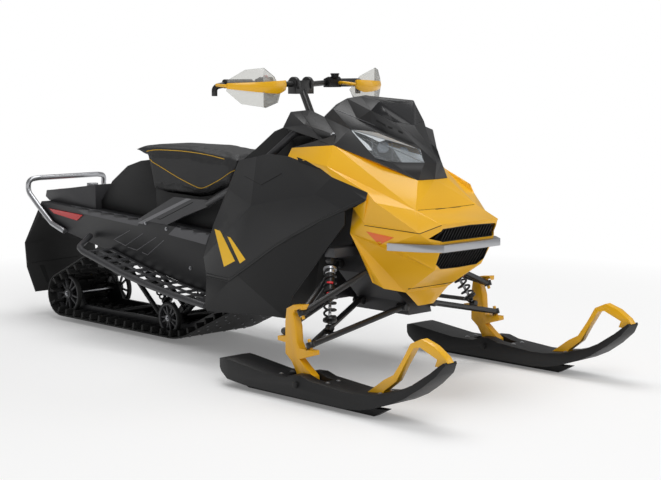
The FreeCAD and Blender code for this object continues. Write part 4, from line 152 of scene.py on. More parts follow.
class GrainGroups:
    """Shader node groups that several materials use for their relief and mottle."""

    mottle_scale = 7
    mottle_detail = 5
    relief_detail = 3
    fold_width = 0.18
    brush_stretch = (0.05, 1.0, 1.0)

    def __init__(self) -> None:
        self.made: dict[Grain, bpy.types.NodeTree] = {}

    def group(self, grain: Grain) -> bpy.types.NodeTree:
        """The node group of a kind of relief, made once."""
        if grain not in self.made:
            self.made[grain] = self._build(grain)
        return self.made[grain]

    def _build(self, grain: Grain) -> bpy.types.NodeTree:
        """Builds one group.

        Args:
            grain: The kind of relief.

        Returns:
            A group with Colour, Roughness, Scale, Height and Mottle in, and Colour,
            Roughness and Normal out.
        """
        net = Net(bpy.data.node_groups.new(grain.value, "ShaderNodeTree"))
        net.sockets(
            "INPUT", Colour="Color", Roughness="Float", Scale="Float", Height="Float",
            Mottle="Float",
        )
        net.sockets("OUTPUT", Colour="Color", Roughness="Float", Normal="Vector")
        given = net.add("NodeGroupInput").outputs
        place = net.add("ShaderNodeTexCoord").outputs["Object"]
        relief = self._relief(net, grain, place, given["Scale"])
        bump = net.add("ShaderNodeBump", {
            "Distance": MM, "Strength": given["Height"], "Height": relief,
        })
        broad = net.add("ShaderNodeTexNoise", {
            "Scale": self.mottle_scale, "Detail": self.mottle_detail, "Vector": place,
        })
        centred = net.math("SUBTRACT", broad.outputs["Fac"], 0.5)
        swing = net.math("MULTIPLY", centred, given["Mottle"])
        factor = net.math("ADD", swing, 1.0)
        tint = net.add(
            "ShaderNodeVectorMath", {0: given["Colour"], "Scale": factor}, operation="SCALE",
        )
        net.add("NodeGroupOutput", {
            "Colour": tint.outputs["Vector"],
            "Roughness": net.math("ADD", given["Roughness"], swing),
            "Normal": bump.outputs["Normal"],
        })
        return net.tree

    def _relief(
        self, net: Net, grain: Grain, place: bpy.types.NodeSocket, scale: bpy.types.NodeSocket,
    ) -> bpy.types.NodeSocket:
        """Adds the texture that gives the height.

        Args:
            net: The group being built.
            grain: The kind of relief.
            place: The texture's coordinates.
            scale: How fine it is.

        Returns:
            The output that holds the height.
        """
        if grain is Grain.HIDE:
            cells = net.add(
                "ShaderNodeTexVoronoi", {"Vector": place, "Scale": scale},
                feature="DISTANCE_TO_EDGE",
            )
            return net.add("ShaderNodeMapRange", {
                "From Max": self.fold_width, "Value": cells.outputs["Distance"],
            }).outputs["Result"]
        if grain is Grain.BRUSHED:
            place = net.add("ShaderNodeMapping", {
                "Scale": self.brush_stretch, "Vector": place,
            }).outputs["Vector"]
        return net.add("ShaderNodeTexNoise", {
            "Detail": self.relief_detail, "Scale": scale, "Vector": place,
        }).outputs["Fac"]


GROUPS = GrainGroups()
MATERIALS: dict[str, bpy.types.Material] = {}
CHASSIS = "chassis"


@dataclass(frozen=True)
class Finish:
    """A surface finish, built as a procedural material."""

    name: str
    colour: tuple[float, float, float]
    roughness: float
    metallic: float = 0.0
    coat: float = 0.0
    coat_roughness: float = 0.08
    grain: Grain = Grain.MOULDED
    scale: float = 900.0
    height: float = 0.1
    mottle: float = 0.1
    clear: float = 0.0
    clear_tint: float = 1.05
    refraction: float = 1.45
    specular: float = 0.5

    def material(self) -> bpy.types.Material:
        """The finish's material, made once."""
        if self.name not in MATERIALS:
            MATERIALS[self.name] = self._build()
        return MATERIALS[self.name]

    def _build(self) -> bpy.types.Material:
        """Builds the material's nodes and returns it."""
        made = bpy.data.materials.new(f"{self.name}_finish")
        made.use_nodes = True
        net = Net(made.node_tree)
        surface = net.add("ShaderNodeGroup", {
            "Colour": (*self.colour, 1), "Roughness": self.roughness, "Scale": self.scale,
            "Height": self.height, "Mottle": self.mottle,
        }, node_tree=GROUPS.group(self.grain)).outputs
        shader = net.feed(net.tree.nodes["Principled BSDF"], {
            "Base Color": surface["Colour"], "Roughness": surface["Roughness"],
            "Normal": surface["Normal"], "Metallic": self.metallic, "Coat Weight": self.coat,
            "Coat Roughness": self.coat_roughness, "Specular IOR Level": self.specular,
        })
        if self.clear > 0:
            self._let_light_through(net, shader)
        return made

    def _let_light_through(self, net: Net, shader: bpy.types.Node) -> None:
        """Mixes the shader with plain transparency, as thin clear sheet has."""
        tint = (*(min(1.0, channel * self.clear_tint) for channel in self.colour), 1)
        gap = net.add("ShaderNodeBsdfTransparent", {"Color": tint})
        edge = net.add("ShaderNodeFresnel", {"IOR": self.refraction})
        share = net.add("ShaderNodeMapRange", {
            "To Min": 1 - self.clear, "Value": edge.outputs["Fac"],
        })
        mix = net.add("ShaderNodeMixShader", {
            "Fac": share.outputs["Result"], 1: gap.outputs["BSDF"], 2: shader.outputs["BSDF"],
        })
        net.feed(net.tree.nodes["Material Output"], {"Surface": mix.outputs["Shader"]})


FINISHES = {
    Slot.YELLOW_PLASTIC: Finish(
        "yellow_plastic", srgb(240, 180, 14), 0.34, coat=0.25, height=0.03, mottle=0.05,
    ),
    Slot.DARK_PLASTIC: Finish("dark_plastic", srgb(36, 36, 37), 0.42, specular=0.4, height=0.12),
    Slot.BLACK_PLASTIC: Finish("black_plastic", srgb(20, 20, 21), 0.5, specular=0.35, height=0.2),
    Slot.DARK_METAL: Finish("dark_metal", srgb(30, 30, 32), 0.4, specular=0.4, height=0.06),
    Slot.BLACK_METAL: Finish("black_metal", srgb(24, 24, 25), 0.38, coat=0.15, height=0.05),
    Slot.YELLOW_METAL: Finish(
        "yellow_metal", srgb(234, 172, 12), 0.34, coat=0.25, height=0.05, mottle=0.08,
    ),
    Slot.GREY_METAL: Finish(
        "grey_metal", srgb(66, 66, 68), 0.42, metallic=0.3, scale=500, height=0.08,
    ),
    Slot.SILVER_METAL: Finish(
        "silver_metal", srgb(176, 177, 180), 0.3, metallic=0.9, grain=Grain.BRUSHED,
        scale=1200, height=0.06,
    ),
    Slot.STEEL: Finish(
        "steel", srgb(150, 151, 154), 0.3, metallic=1.0, grain=Grain.BRUSHED, scale=900,
        height=0.05,
    ),
    Slot.RUBBER: Finish("rubber", srgb(27, 27, 27), 0.72, scale=500, height=0.3),
    Slot.VINYL: Finish(
        "vinyl", srgb(36, 36, 37), 0.55, grain=Grain.HIDE, scale=420, height=0.25,
    ),
    Slot.CLEAR_LENS: Finish("clear_lens", srgb(225, 228, 230), 0.05, clear=0.93, height=0.01),
    Slot.SMOKED_PLASTIC: Finish("smoked_plastic", srgb(28, 28, 30), 0.22, height=0.02),
    Slot.CLEAR_PLASTIC: Finish("clear_plastic", srgb(232, 232, 230), 0.12, clear=0.86, height=0.02),
    Slot.RED_LENS: Finish("red_lens", srgb(190, 22, 24), 0.22, coat=0.4, height=0.05),
    Slot.ENGINE_METAL: Finish(
        "engine_metal", srgb(120, 121, 124), 0.5, metallic=0.6, scale=260, height=0.35,
    ),
}
CHROME = Finish("lamp_chrome", srgb(214, 216, 220), 0.1, metallic=1.0, height=0.02, mottle=0.3)
STRIPE = Finish("stripe_yellow", srgb(250, 196, 24), 0.34, coat=0.2, height=0.03, mottle=0.04)
PIPING = Finish("piping_yellow", srgb(206, 160, 26), 0.55, height=0.1)
RED_MARK = Finish("red_mark", srgb(214, 34, 44), 0.4, coat=0.2)
# The grey of the tunnel bands; the hood's crease lines use it as a painted highlight.
GREY_BAND_AND_HIGHLIGHT = Finish("grey_band_and_crease_highlight", srgb(84, 84, 87), 0.4, metallic=0.2, height=0.08)
WHEEL_GREY = Finish("wheel_grey", srgb(52, 52, 54), 0.45)
# A painted highlight: light grey laid along the strut's edge and the tunnel's vent ridges, where they
# catch the light.
EDGE_HIGHLIGHT = Finish("painted_edge_highlight", srgb(118, 118, 121), 0.4, metallic=0.2, height=0.06)
SEAM = Finish("seam_shadow", srgb(12, 12, 12), 0.8)
AMBER = Finish("amber_reflector", srgb(236, 104, 20), 0.22, coat=0.4, height=0.05)
LAMP_BLACK = Finish("lamp_housing", srgb(20, 20, 22), 0.3, height=0.05)
LAMP_GREY = Finish("lamp_bezel", srgb(150, 152, 156), 0.3, metallic=0.4, height=0.05)


def stations(points: list[Vector]) -> list[Matrix]:
    """Frames along a path, each turned as little as possible from the last.

    Args:
        points: The path.

    Returns:
        One matrix a point, whose third column runs along the path.
    """
    last = len(points) - 1
    frames = []
    side = None
    for index, point in enumerate(points):
        along = (points[min(index + 1, last)] - points[max(index - 1, 0)]).normalized()
        if side is None:
            side = along.orthogonal().normalized()
        side = (side - along * side.dot(along)).normalized()
        turn = Matrix((side, along.cross(side), along)).transposed().to_4x4()
        turn.translation = point
        frames.append(turn)
    return frames


def smooth_path(points: list[Vector], steps: int = 6) -> list[Vector]:
    """Draws a smooth curve through points.

    Args:
        points: The points.
        steps: How many steps lie between two of them.

    Returns:
        Points on the curve.
    """
    last = len(points) - 1
    result = []
    for index in range(last):
        a, b, c, d = (points[min(max(index + shift, 0), last)] for shift in (-1, 0, 1, 2))
        for step in range(steps):
            t = step / steps
            result.append(0.5 * (
                2 * b + (c - a) * t + (2 * a - 5 * b + 4 * c - d) * t * t
                + (3 * b - a - 3 * c + d) * t ** 3
            ))
    return result + [points[-1]]


class Shape:
    """Collects mesh parts, then becomes one piece of the object."""

    coil_steps = 14

    def __init__(self) -> None:
        self.bm = bmesh.new()

    def skin(self, rings: list[list[Vector]], closed: bool = False) -> None:
        """Joins rings of points into a skin, with its two ends closed.

        Args:
            rings: Rings with the same number of points.
            closed: Whether the last ring joins the first, so that no end is left.
        """
        made = [[self.bm.verts.new(p) for p in ring] for ring in rings]
        pairs = list(zip(made, made[1:] + made[:1])) if closed else list(zip(made, made[1:]))
        for low, high in pairs:
            size = len(low)
            for index in range(size):
                following = (index + 1) % size
                self.bm.faces.new((low[index], low[following], high[following], high[index]))
        if not closed:
            self.bm.faces.new(list(reversed(made[0])))
            self.bm.faces.new(made[-1])

    def tube(self, points: list[Vector], radius: float, sides: int = 12) -> None:
        """A round tube along a path.

        Args:
            points: The path.
            radius: The tube's radius.
            sides: How many sides its section has.
        """
        turns = [2 * math.pi * index / sides for index in range(sides)]
        section = [Vector((radius * math.cos(a), radius * math.sin(a), 0)) for a in turns]
        self.skin([[turn @ corner for corner in section] for turn in stations(points)])

    def lathe(
        self, base: Vector, axis: Vector, profile: Profile, sides: int = 32,
        closed: bool = False,
    ) -> None:
        """Turns a profile of (height, radius) pairs about an axis.

        Args:
            base: Where height 0 lies.
            axis: The axis's direction.
            profile: The outline from one end to the other.
            sides: How many steps a turn has.
            closed: Whether the profile's end meets its start, which makes a ring.
        """
        along = axis.normalized()
        side = along.orthogonal().normalized()
        other = along.cross(side)
        turns = [2 * math.pi * index / sides for index in range(sides)]
        self.skin([
            [
                base + along * height + (side * math.cos(a) + other * math.sin(a)) * radius
                for a in turns
            ]
            for height, radius in profile
        ], closed)

    def prism(self, outline: list[Vector], push: Vector) -> None:
        """An outline of points in one plane, pushed to a solid."""
        self.skin([list(outline), [p + push for p in outline]])

    def helix(
        self, start: Vector, end: Vector, radius: float, wire: float, turns: int,
    ) -> None:
        """A coil of wire round the line from start to end.

        Args:
            start: Where the coil's middle line begins.
            end: Where it ends.
            radius: The coil's radius, to the middle of the wire.
            wire: The wire's radius.
            turns: How many turns it has.
        """
        along = (end - start).normalized()
        side = along.orthogonal().normalized()
        other = along.cross(side)
        steps = self.coil_steps * turns
        points = []
        for step in range(steps + 1):
            angle = 2 * math.pi * turns * step / steps
            out = side * math.cos(angle) + other * math.sin(angle)
            points.append(start.lerp(end, step / steps) + out * radius)
        self.tube(points, wire, sides=8)

    def bolt(self, place: Vector, axis: Vector, radius: float, height: float) -> None:
        """A flanged six-sided bolt head with a washer.

        Args:
            place: The middle of its foot.
            axis: Where it points.
            radius: The head's radius; the washer's is half as much again.
            height: The whole height.
        """
        washer = radius * 1.5
        self.lathe(place, axis, [(0, washer), (height * 0.3, washer), (height * 0.3, radius)], 24)
        self.lathe(
            place, axis, [(height * 0.25, radius), (height * 0.85, radius), (height, radius * 0.8)], 6,
        )

    def mirror(self) -> None:
        """Adds the same parts on the other side of the sled."""
        copied = bmesh.ops.duplicate(self.bm, geom=self.bm.verts[:] + self.bm.faces[:])
        faces = [g for g in copied["geom"] if isinstance(g, bmesh.types.BMFace)]
        verts = [g for g in copied["geom"] if isinstance(g, bmesh.types.BMVert)]
        for vert in verts:
            vert.co.x = -vert.co.x
        bmesh.ops.reverse_faces(self.bm, faces=faces)

    def piece(
        self, name: str, body: str, slot: Slot, finish: Finish | None = None,
        bevel: float = 0.0, sharp: float = 35.0,
    ) -> bpy.types.Object:
        """Makes the piece, dressed and riding on its body.

        Args:
            name: The piece's name.
            body: The body that carries it.
            slot: Its material slot.
            finish: Its finish, or None for the slot's own.
            bevel: Width of its rounded edges, in metres.
            sharp: Edges that turn more than this many degrees stay crisp.

        Returns:
            The object.
        """
        limit = math.radians(sharp)
        bmesh.ops.recalc_face_normals(self.bm, faces=self.bm.faces[:])
        if bevel > 0:
            edges = [e for e in self.bm.edges if e.is_manifold and e.calc_face_angle(0) > limit]
            bmesh.ops.bevel(
                self.bm, geom=edges, offset=bevel, segments=2, profile=0.5, affect="EDGES",
                clamp_overlap=True,
            )
        for face in self.bm.faces:
            face.smooth = True
        for edge in self.bm.edges:
            edge.smooth = edge.calc_face_angle(0) < limit
        return add_piece(name, self.mesh(name), body, slot, finish)

    def mesh(self, name: str) -> bpy.types.Mesh:
        """Turns the parts into a mesh, which ends the shape."""
        made = bpy.data.meshes.new(name)
        self.bm.to_mesh(made)
        self.bm.free()
        return made


def linked(name: str, data: bpy.types.ID) -> bpy.types.Object:
    """A new object in the scene."""
    obj = bpy.data.objects.new(name, data)
    bpy.context.scene.collection.objects.link(obj)
    return obj


def evaluated_mesh(obj: bpy.types.Object) -> bpy.types.Mesh:
    """The mesh that an object's modifiers make."""
    bpy.context.view_layer.update()
    graph = bpy.context.evaluated_depsgraph_get()
    return bpy.data.meshes.new_from_object(obj.evaluated_get(graph))


def add_piece(
    name: str, mesh: bpy.types.Mesh, body: str, slot: Slot, finish: Finish | None = None,
) -> bpy.types.Object:
    """Links a mesh as a piece of the object, dressed and riding on its body.

    Args:
        name: The piece's name.
        mesh: Its mesh.
        body: The body that carries it.
        slot: Its material slot.
        finish: Its finish, or None for the slot's own.

    Returns:
        The object.
    """
    obj = linked(name, mesh)
    mesh.materials.clear()
    mesh.materials.append((finish or FINISHES[slot]).material())
    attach(obj, body)
    log.info("%s: %d faces on %s", name, len(mesh.polygons), body)
    return obj


def tree_of(mesh: bpy.types.Mesh) -> BVHTree:
    """A search tree over a mesh."""
    faces = [tuple(face.vertices) for face in mesh.polygons]
    return BVHTree.FromPolygons([vert.co for vert in mesh.vertices], faces)


@dataclass(frozen=True)
class NodeDresser:
    """Rounds the edges of the nodes that stay, and gives each its material."""

    width: float = 1.2 * MM
    segments: int = 2
    flat_angle: float = 1.5
    angle: float = 28.0
    panel_angle: float = 7.0
    panels: tuple[str, ...] = (
        "nose_cowl", "nose_lower", "hood", "side_panel_left", "side_panel_right", "console",
        "footwell_left", "footwell_right", "windshield", "fuel_tank", "rear_cover",
        "headlamp_lenses", "tunnel", "rear_deck",
    )
    plain_nodes: tuple[str, ...] = (
        "track", "rear_idlers", "forward_idlers", "upper_idlers", "front_shock_left",
        "front_shock_right", "rear_shocks",
    )

    def dress_all(self) -> None:
        """Dresses every node of the frame by its record's slot."""
        for row in frame["record"]["subparts"]:
            self._dress(frame["nodes"][row["node"]], Slot(row["material_slot"]))

    def _dress(self, obj: bpy.types.Object, slot: Slot) -> None:
        """Dresses one node's object.

        Args:
            obj: The object.
            slot: Its material slot.
        """
        obj.data.materials.clear()
        obj.data.materials.append(FINISHES[slot].material())
        for face in obj.data.polygons:
            face.use_smooth = True
        if obj.data.has_custom_normals:
            obj.data.normals_split_custom_set([(0, 0, 0)] * len(obj.data.loops))
        weld = obj.modifiers.new("weld", "WELD")
        weld.merge_threshold = WELD
        flat = obj.modifiers.new("flat", "DECIMATE")
        flat.decimate_type = "DISSOLVE"
        flat.angle_limit = math.radians(self.flat_angle)
        if obj.name not in self.plain_nodes:
            bevel = obj.modifiers.new("edges", "BEVEL")
            bevel.limit_method = "ANGLE"
            angle = self.panel_angle if obj.name in self.panels else self.angle
            bevel.angle_limit = math.radians(angle)
            bevel.width = self.width
            bevel.segments = self.segments
            bevel.use_clamp_overlap = True
            bevel.harden_normals = True
        else:
            split = obj.modifiers.new("split", "EDGE_SPLIT")
            split.split_angle = math.radians(self.angle)


class ViewRays:
    """Finds places on nodes by pixels of the main view, and lays thin details there."""

    focal = 1471.573
    middle = (330.5, 240.0)
    step = 2.5
    snap = 1e-4

    def __init__(self, *nodes: str) -> None:
        verts, faces = [], []
        for node in nodes:
            mesh = frame["nodes"][node].data
            start = len(verts)
            verts += [v.co.copy() for v in mesh.vertices]
            faces += [tuple(start + index for index in p.vertices) for p in mesh.polygons]
        self.tree = BVHTree.FromPolygons(verts, faces)

    def hit(self, u: float, v: float) -> tuple[Vector, Vector] | None:
        """Looks through a pixel of the main view.

        Args:
            u: The pixel's place from the left.
            v: Its place from the top.

        Returns:
            The first place met and its normal towards the camera, or None.
        """
        across, rise = (u - self.middle[0]) / self.focal, (self.middle[1] - v) / self.focal
        ray = (Studio.right * across + Studio.up * rise - Studio.back).normalized()
        place, normal, _, _ = self.tree.ray_cast(Studio.position, ray)
        if place is None:
            return None
        return place, -normal if normal.dot(ray) > 0 else normal

    def _marks(self, route: Route) -> list[Pixel]:
        """Sets pixels at even steps along a route.

        Args:
            route: The route's corners.

        Returns:
            The pixels, up to the last step before its end.
        """
        marks = []
        for (u_a, v_a), (u_b, v_b) in zip(route, route[1:]):
            count = max(1, math.ceil(math.hypot(u_b - u_a, v_b - v_a) / self.step))
            marks += [
                (u_a + (u_b - u_a) * n / count, v_a + (v_b - v_a) * n / count)
                for n in range(count)
            ]
        return marks

    def seam(self, shape: Shape, route: Route, radius: float) -> None:
        """Lays a thin tube along a route, its middle on the surface.

        Args:
            shape: The shape that takes the tube.
            route: The route's corners.
            radius: The tube's radius.
        """
        hits = [self.hit(u, v) for u, v in (*self._marks(route), route[-1])]
        points = [found[0] for found in hits if found is not None]
        if len(points) > 2:
            shape.tube(points, radius, sides=8)

    def patch(
        self, shape: Shape, outline: Route, lift: float, sink: float = 1.0 * MM,
    ) -> None:
        """Lays a thin plate over the area inside an outline of pixels.

        Args:
            shape: The shape that takes the plate.
            outline: The outline, corners in turn.
            lift: How far the plate stands proud.
            sink: How far it reaches in.
        """
        rim = [Vector(mark) for mark in self._marks((*outline, outline[0]))]
        inner = self._grid(outline)
        flat, _, faces, _, _, _ = delaunay_2d_cdt(
            rim + inner, [], [list(range(len(rim)))], 1, self.snap,
        )
        hits = [self.hit(p.x, p.y) for p in flat]
        faces = [f for f in faces if all(hits[index] is not None for index in f)]
        tops, lows = {}, {}
        for face in faces:
            for index in face:
                if index not in tops:
                    place, normal = hits[index]
                    tops[index] = shape.bm.verts.new(place + normal * lift)
                    lows[index] = shape.bm.verts.new(place - normal * sink)
        edges = {}
        for face in faces:
            shape.bm.faces.new([tops[index] for index in face])
            shape.bm.faces.new([lows[index] for index in reversed(face)])
            for a, b in zip(face, face[1:] + face[:1]):
                edges[(a, b)] = edges.get((b, a)) is None
                if (b, a) in edges:
                    edges.pop((a, b))
                    edges.pop((b, a))
        for a, b in edges:
            shape.bm.faces.new((tops[b], tops[a], lows[a], lows[b]))

    def _grid(self, outline: Route) -> list[Vector]:
        """Fills an outline with points at even steps.

        Args:
            outline: The outline, in pixels.

        Returns:
            The points inside it.
        """
        us, vs = [u for u, v in outline], [v for u, v in outline]
        columns = int((max(us) - min(us)) / self.step)
        rows = int((max(vs) - min(vs)) / self.step)
        found = []
        for column in range(1, columns + 1):
            for row in range(1, rows + 1):
                point = (min(us) + column * self.step, min(vs) + row * self.step)
                if self._inside(point, outline):
                    found.append(Vector(point))
        return found

    @staticmethod
    def _inside(point: Pixel, outline: Route) -> bool:
        """Tells whether a pixel lies inside an outline.

        Args:
            point: The pixel.
            outline: The outline, corners in turn.

        Returns:
            True when an odd number of its edges lie to one side.
        """
        within = False
        for (u_a, v_a), (u_b, v_b) in zip(outline, outline[1:] + outline[:1]):
            if (v_a > point[1]) != (v_b > point[1]):
                if point[0] < u_a + (u_b - u_a) * (point[1] - v_a) / (v_b - v_a):
                    within = not within
        return within


@dataclass
class Seat:
    """The stuffed cushion with its piping."""

    voxel: float = 6 * MM
    shrink: float = 0.975
    shrink_y: float = 0.99
    cap: float = 9 * MM
    pressure: float = 4.0
    frames: int = 20
    softness: float = 0.5
    softenings: int = 6
    piping: float = 1.6 * MM
    top_edge: Route = (
        (0.597, 0.797), (0.529, 0.806), (0.400, 0.808), (0.296, 0.806), (0.180, 0.798),
        (0.080, 0.786),
    )
    lower_fold: Route = (
        (0.590, 0.770), (0.480, 0.735), (0.370, 0.698), (0.262, 0.668), (0.215, 0.662),
        (0.160, 0.678), (0.080, 0.712), (0.020, 0.745),
    )

    def build(self) -> None:
        """Makes the cushion and its piping."""
        low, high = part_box("seat_cushion")
        pad = self._remeshed((low + high) / 2)
        self._inflate(pad)
        self._round(pad, low, high)
        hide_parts("seat_cushion")
        self._pipe(pad, high)

    def _remeshed(self, centre: Vector) -> bpy.types.Object:
        """Makes the cushion's solid an even mesh, a little smaller than its space.

        Args:
            centre: The middle of the space.

        Returns:
            The cushion.
        """
        source = frame["nodes"]["seat_cushion"].data
        shape = Shape()
        shape.bm.from_mesh(source)
        bmesh.ops.remove_doubles(shape.bm, verts=shape.bm.verts, dist=WELD)
        bmesh.ops.scale(
            shape.bm, vec=Vector((self.shrink, self.shrink_y, self.shrink)), verts=shape.bm.verts,
            space=Matrix.Translation(-centre),
        )
        pad = shape.piece("seat_pad", CHASSIS, Slot.VINYL)
        remesh = pad.modifiers.new("even", "REMESH")
        remesh.mode = "VOXEL"
        remesh.voxel_size = self.voxel
        self._apply(pad)
        return pad

    @staticmethod
    def _apply(obj: bpy.types.Object) -> None:
        """Replaces a piece's mesh by what its modifiers make of it."""
        made = evaluated_mesh(obj)
        obj.modifiers.clear()
        obj.data = made

    def _inflate(self, pad: bpy.types.Object) -> None:
        """Blows the cushion up as cloth, and keeps each point within the cap.

        Args:
            pad: The cushion.
        """
        before = [v.co.copy() for v in pad.data.vertices]
        cloth = pad.modifiers.new("stuffing", "CLOTH")
        cloth.settings.use_pressure = True
        cloth.settings.uniform_pressure_force = self.pressure
        cloth.settings.effector_weights.gravity = 0
        cloth.point_cache.frame_end = self.frames
        for number in range(1, self.frames + 1):
            bpy.context.scene.frame_set(number)
        self._apply(pad)
        bpy.context.scene.frame_set(1)
        for vert, start in zip(pad.data.vertices, before):
            moved = vert.co - start
            if moved.length > self.cap:
                vert.co = start + moved.normalized() * self.cap

    def _round(self, pad: bpy.types.Object, low: Vector, high: Vector) -> None:
        """Softens the cushion and keeps it inside its space.

        Args:
            pad: The cushion.
            low: The lowest corner of its space.
            high: The highest corner.
        """
        soften = pad.modifiers.new("soften", "SMOOTH")
        soften.factor = self.softness
        soften.iterations = self.softenings
        finer = pad.modifiers.new("finer", "SUBSURF")
        finer.levels = 1
        finer.render_levels = 1
        self._apply(pad)
        for vert in pad.data.vertices:
            vert.co = Vector(
                min(max(value, least), most) for value, least, most in zip(vert.co, low, high)
            )
        for face in pad.data.polygons:
            face.use_smooth = True

    def _pipe(self, pad: bpy.types.Object, high: Vector) -> None:
        """Lays the piping on the cushion's sides.

        Args:
            pad: The cushion.
            high: The highest corner of its space.
        """
        tree = tree_of(pad.data)
        shape = Shape()
        for line in (self.top_edge, self.lower_fold):
            path = smooth_path([Vector((0, y, z)) for y, z in line])
            hits = [
                tree.ray_cast(Vector((high.x + 0.1, point.y, point.z)), Vector((-1, 0, 0)))[0]
                for point in path
            ]
            shape.tube([place for place in hits if place is not None], self.piping, sides=8)
        shape.mirror()
        shape.piece("seat_piping", CHASSIS, Slot.VINYL, PIPING)


@dataclass
class Shock:
    """A coil-over shock between two eyes; shares are of the length between them."""

    top: Vector
    low: Vector
    across: Vector
    body_radius: float = 17 * MM
    rod_radius: float = 6 * MM
    spring_radius: float = 25 * MM
    wire: float = 4.2 * MM
    turns: int = 7
    eye_radius: float = 12 * MM
    eye_hole: float = 5 * MM
    eye_half: float = 12 * MM
    body_from: float = 30 * MM
    body_to: float = 0.55
    cap_at: float = 0.10
    ring_at: float = 0.15
    seat_at: float = 0.86
    spring_from: float = 0.16
    marks_at: tuple[float, ...] = (0.36, 0.52)
    mark_turns: tuple[float, ...] = (-0.5, -0.25, 0, 0.25, 0.5)
    mark_side: tuple[float, float, float] = (-0.7, -0.7, 0)

    def build(self, name: str, node: str, marks: bool) -> None:
        """Makes the shock's pieces; the first stands for the node.

        Args:
            name: Start of the pieces' names.
            node: The node that they stand for.
            marks: Whether the spring has its two red marks.
        """
        run = self.low - self.top
        along, reach = run.normalized(), run.length
        body = self._body(along, reach).piece(
            f"{name}_body", CHASSIS, Slot.BLACK_METAL, bevel=0.6 * MM,
        )
        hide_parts(node)
        ring = self.body_radius + 2 * MM
        shaft = Shape()
        shaft.tube([self.top + along * reach * 0.5, self.low], self.rod_radius * 0.9)
        shaft.lathe(self.top, along, [
            (reach * self.cap_at, self.body_radius),
            (reach * (self.cap_at + 0.01), self.spring_radius),
            (reach * (self.ring_at - 0.005), self.spring_radius),
            (reach * self.ring_at, ring), (reach * (self.ring_at + 0.04), ring),
            (reach * (self.ring_at + 0.05), self.body_radius),
        ])
        shaft.piece(f"{name}_cap", CHASSIS, Slot.SILVER_METAL, bevel=0.4 * MM)
        spring = Shape()
        spring.helix(
            self.top + along * reach * self.spring_from, self.top + along * reach * self.seat_at,
            self.spring_radius - self.wire, self.wire, self.turns,
        )
        spring.piece(f"{name}_spring", CHASSIS, Slot.BLACK_METAL)
        if marks:
            self._mark(name, along, reach)

    def _body(self, along: Vector, reach: float) -> Shape:
        """The eyes, the damper's body and the spring's lower seat.

        Args:
            along: The direction from the top eye to the low one.
            reach: The length between them.

        Returns:
            The shape that holds them.
        """
        shape = Shape()
        width = 2 * self.eye_half
        for eye in (self.top, self.low):
            shape.lathe(eye - self.across * self.eye_half, self.across, [
                (0, self.eye_hole), (0, self.eye_radius), (width, self.eye_radius),
                (width, self.eye_hole),
            ], 24)
        shape.lathe(self.top, along, [
            (self.body_from, self.rod_radius), (self.body_from + 6 * MM, self.body_radius),
            (reach * self.body_to, self.body_radius),
            (reach * (self.body_to + 0.01), self.body_radius * 0.8),
            (reach * (self.body_to + 0.02), self.rod_radius),
        ])
        shape.lathe(self.top, along, [
            (reach * self.seat_at, self.spring_radius - self.wire),
            (reach * (self.seat_at + 0.01), self.spring_radius),
            (reach * (self.seat_at + 0.04), self.spring_radius),
            (reach * (self.seat_at + 0.06), self.body_radius * 0.6),
            (reach * (self.seat_at + 0.09), self.rod_radius),
        ])
        return shape

    def _mark(self, name: str, along: Vector, reach: float) -> None:
        """Adds short red stretches on two of the spring's turns.

        Args:
            name: Start of the piece's name.
            along: The direction from the top eye to the low one.
            reach: The length between them.
        """
        shape = Shape()
        outwards = Vector(self.mark_side)
        facing = (outwards - along * outwards.dot(along)).normalized()
        if self.top.x > 0:
            facing.x = -facing.x
        other = along.cross(facing)
        for share in self.marks_at:
            centre = self.top + along * reach * share
            arc = [
                centre + (facing * math.cos(a) + other * math.sin(a))
                * (self.spring_radius - self.wire)
                for a in self.mark_turns
            ]
            shape.tube(arc, self.wire * 1.08, sides=8)
        shape.piece(f"{name}_marks", CHASSIS, Slot.RED_LENS, RED_MARK)


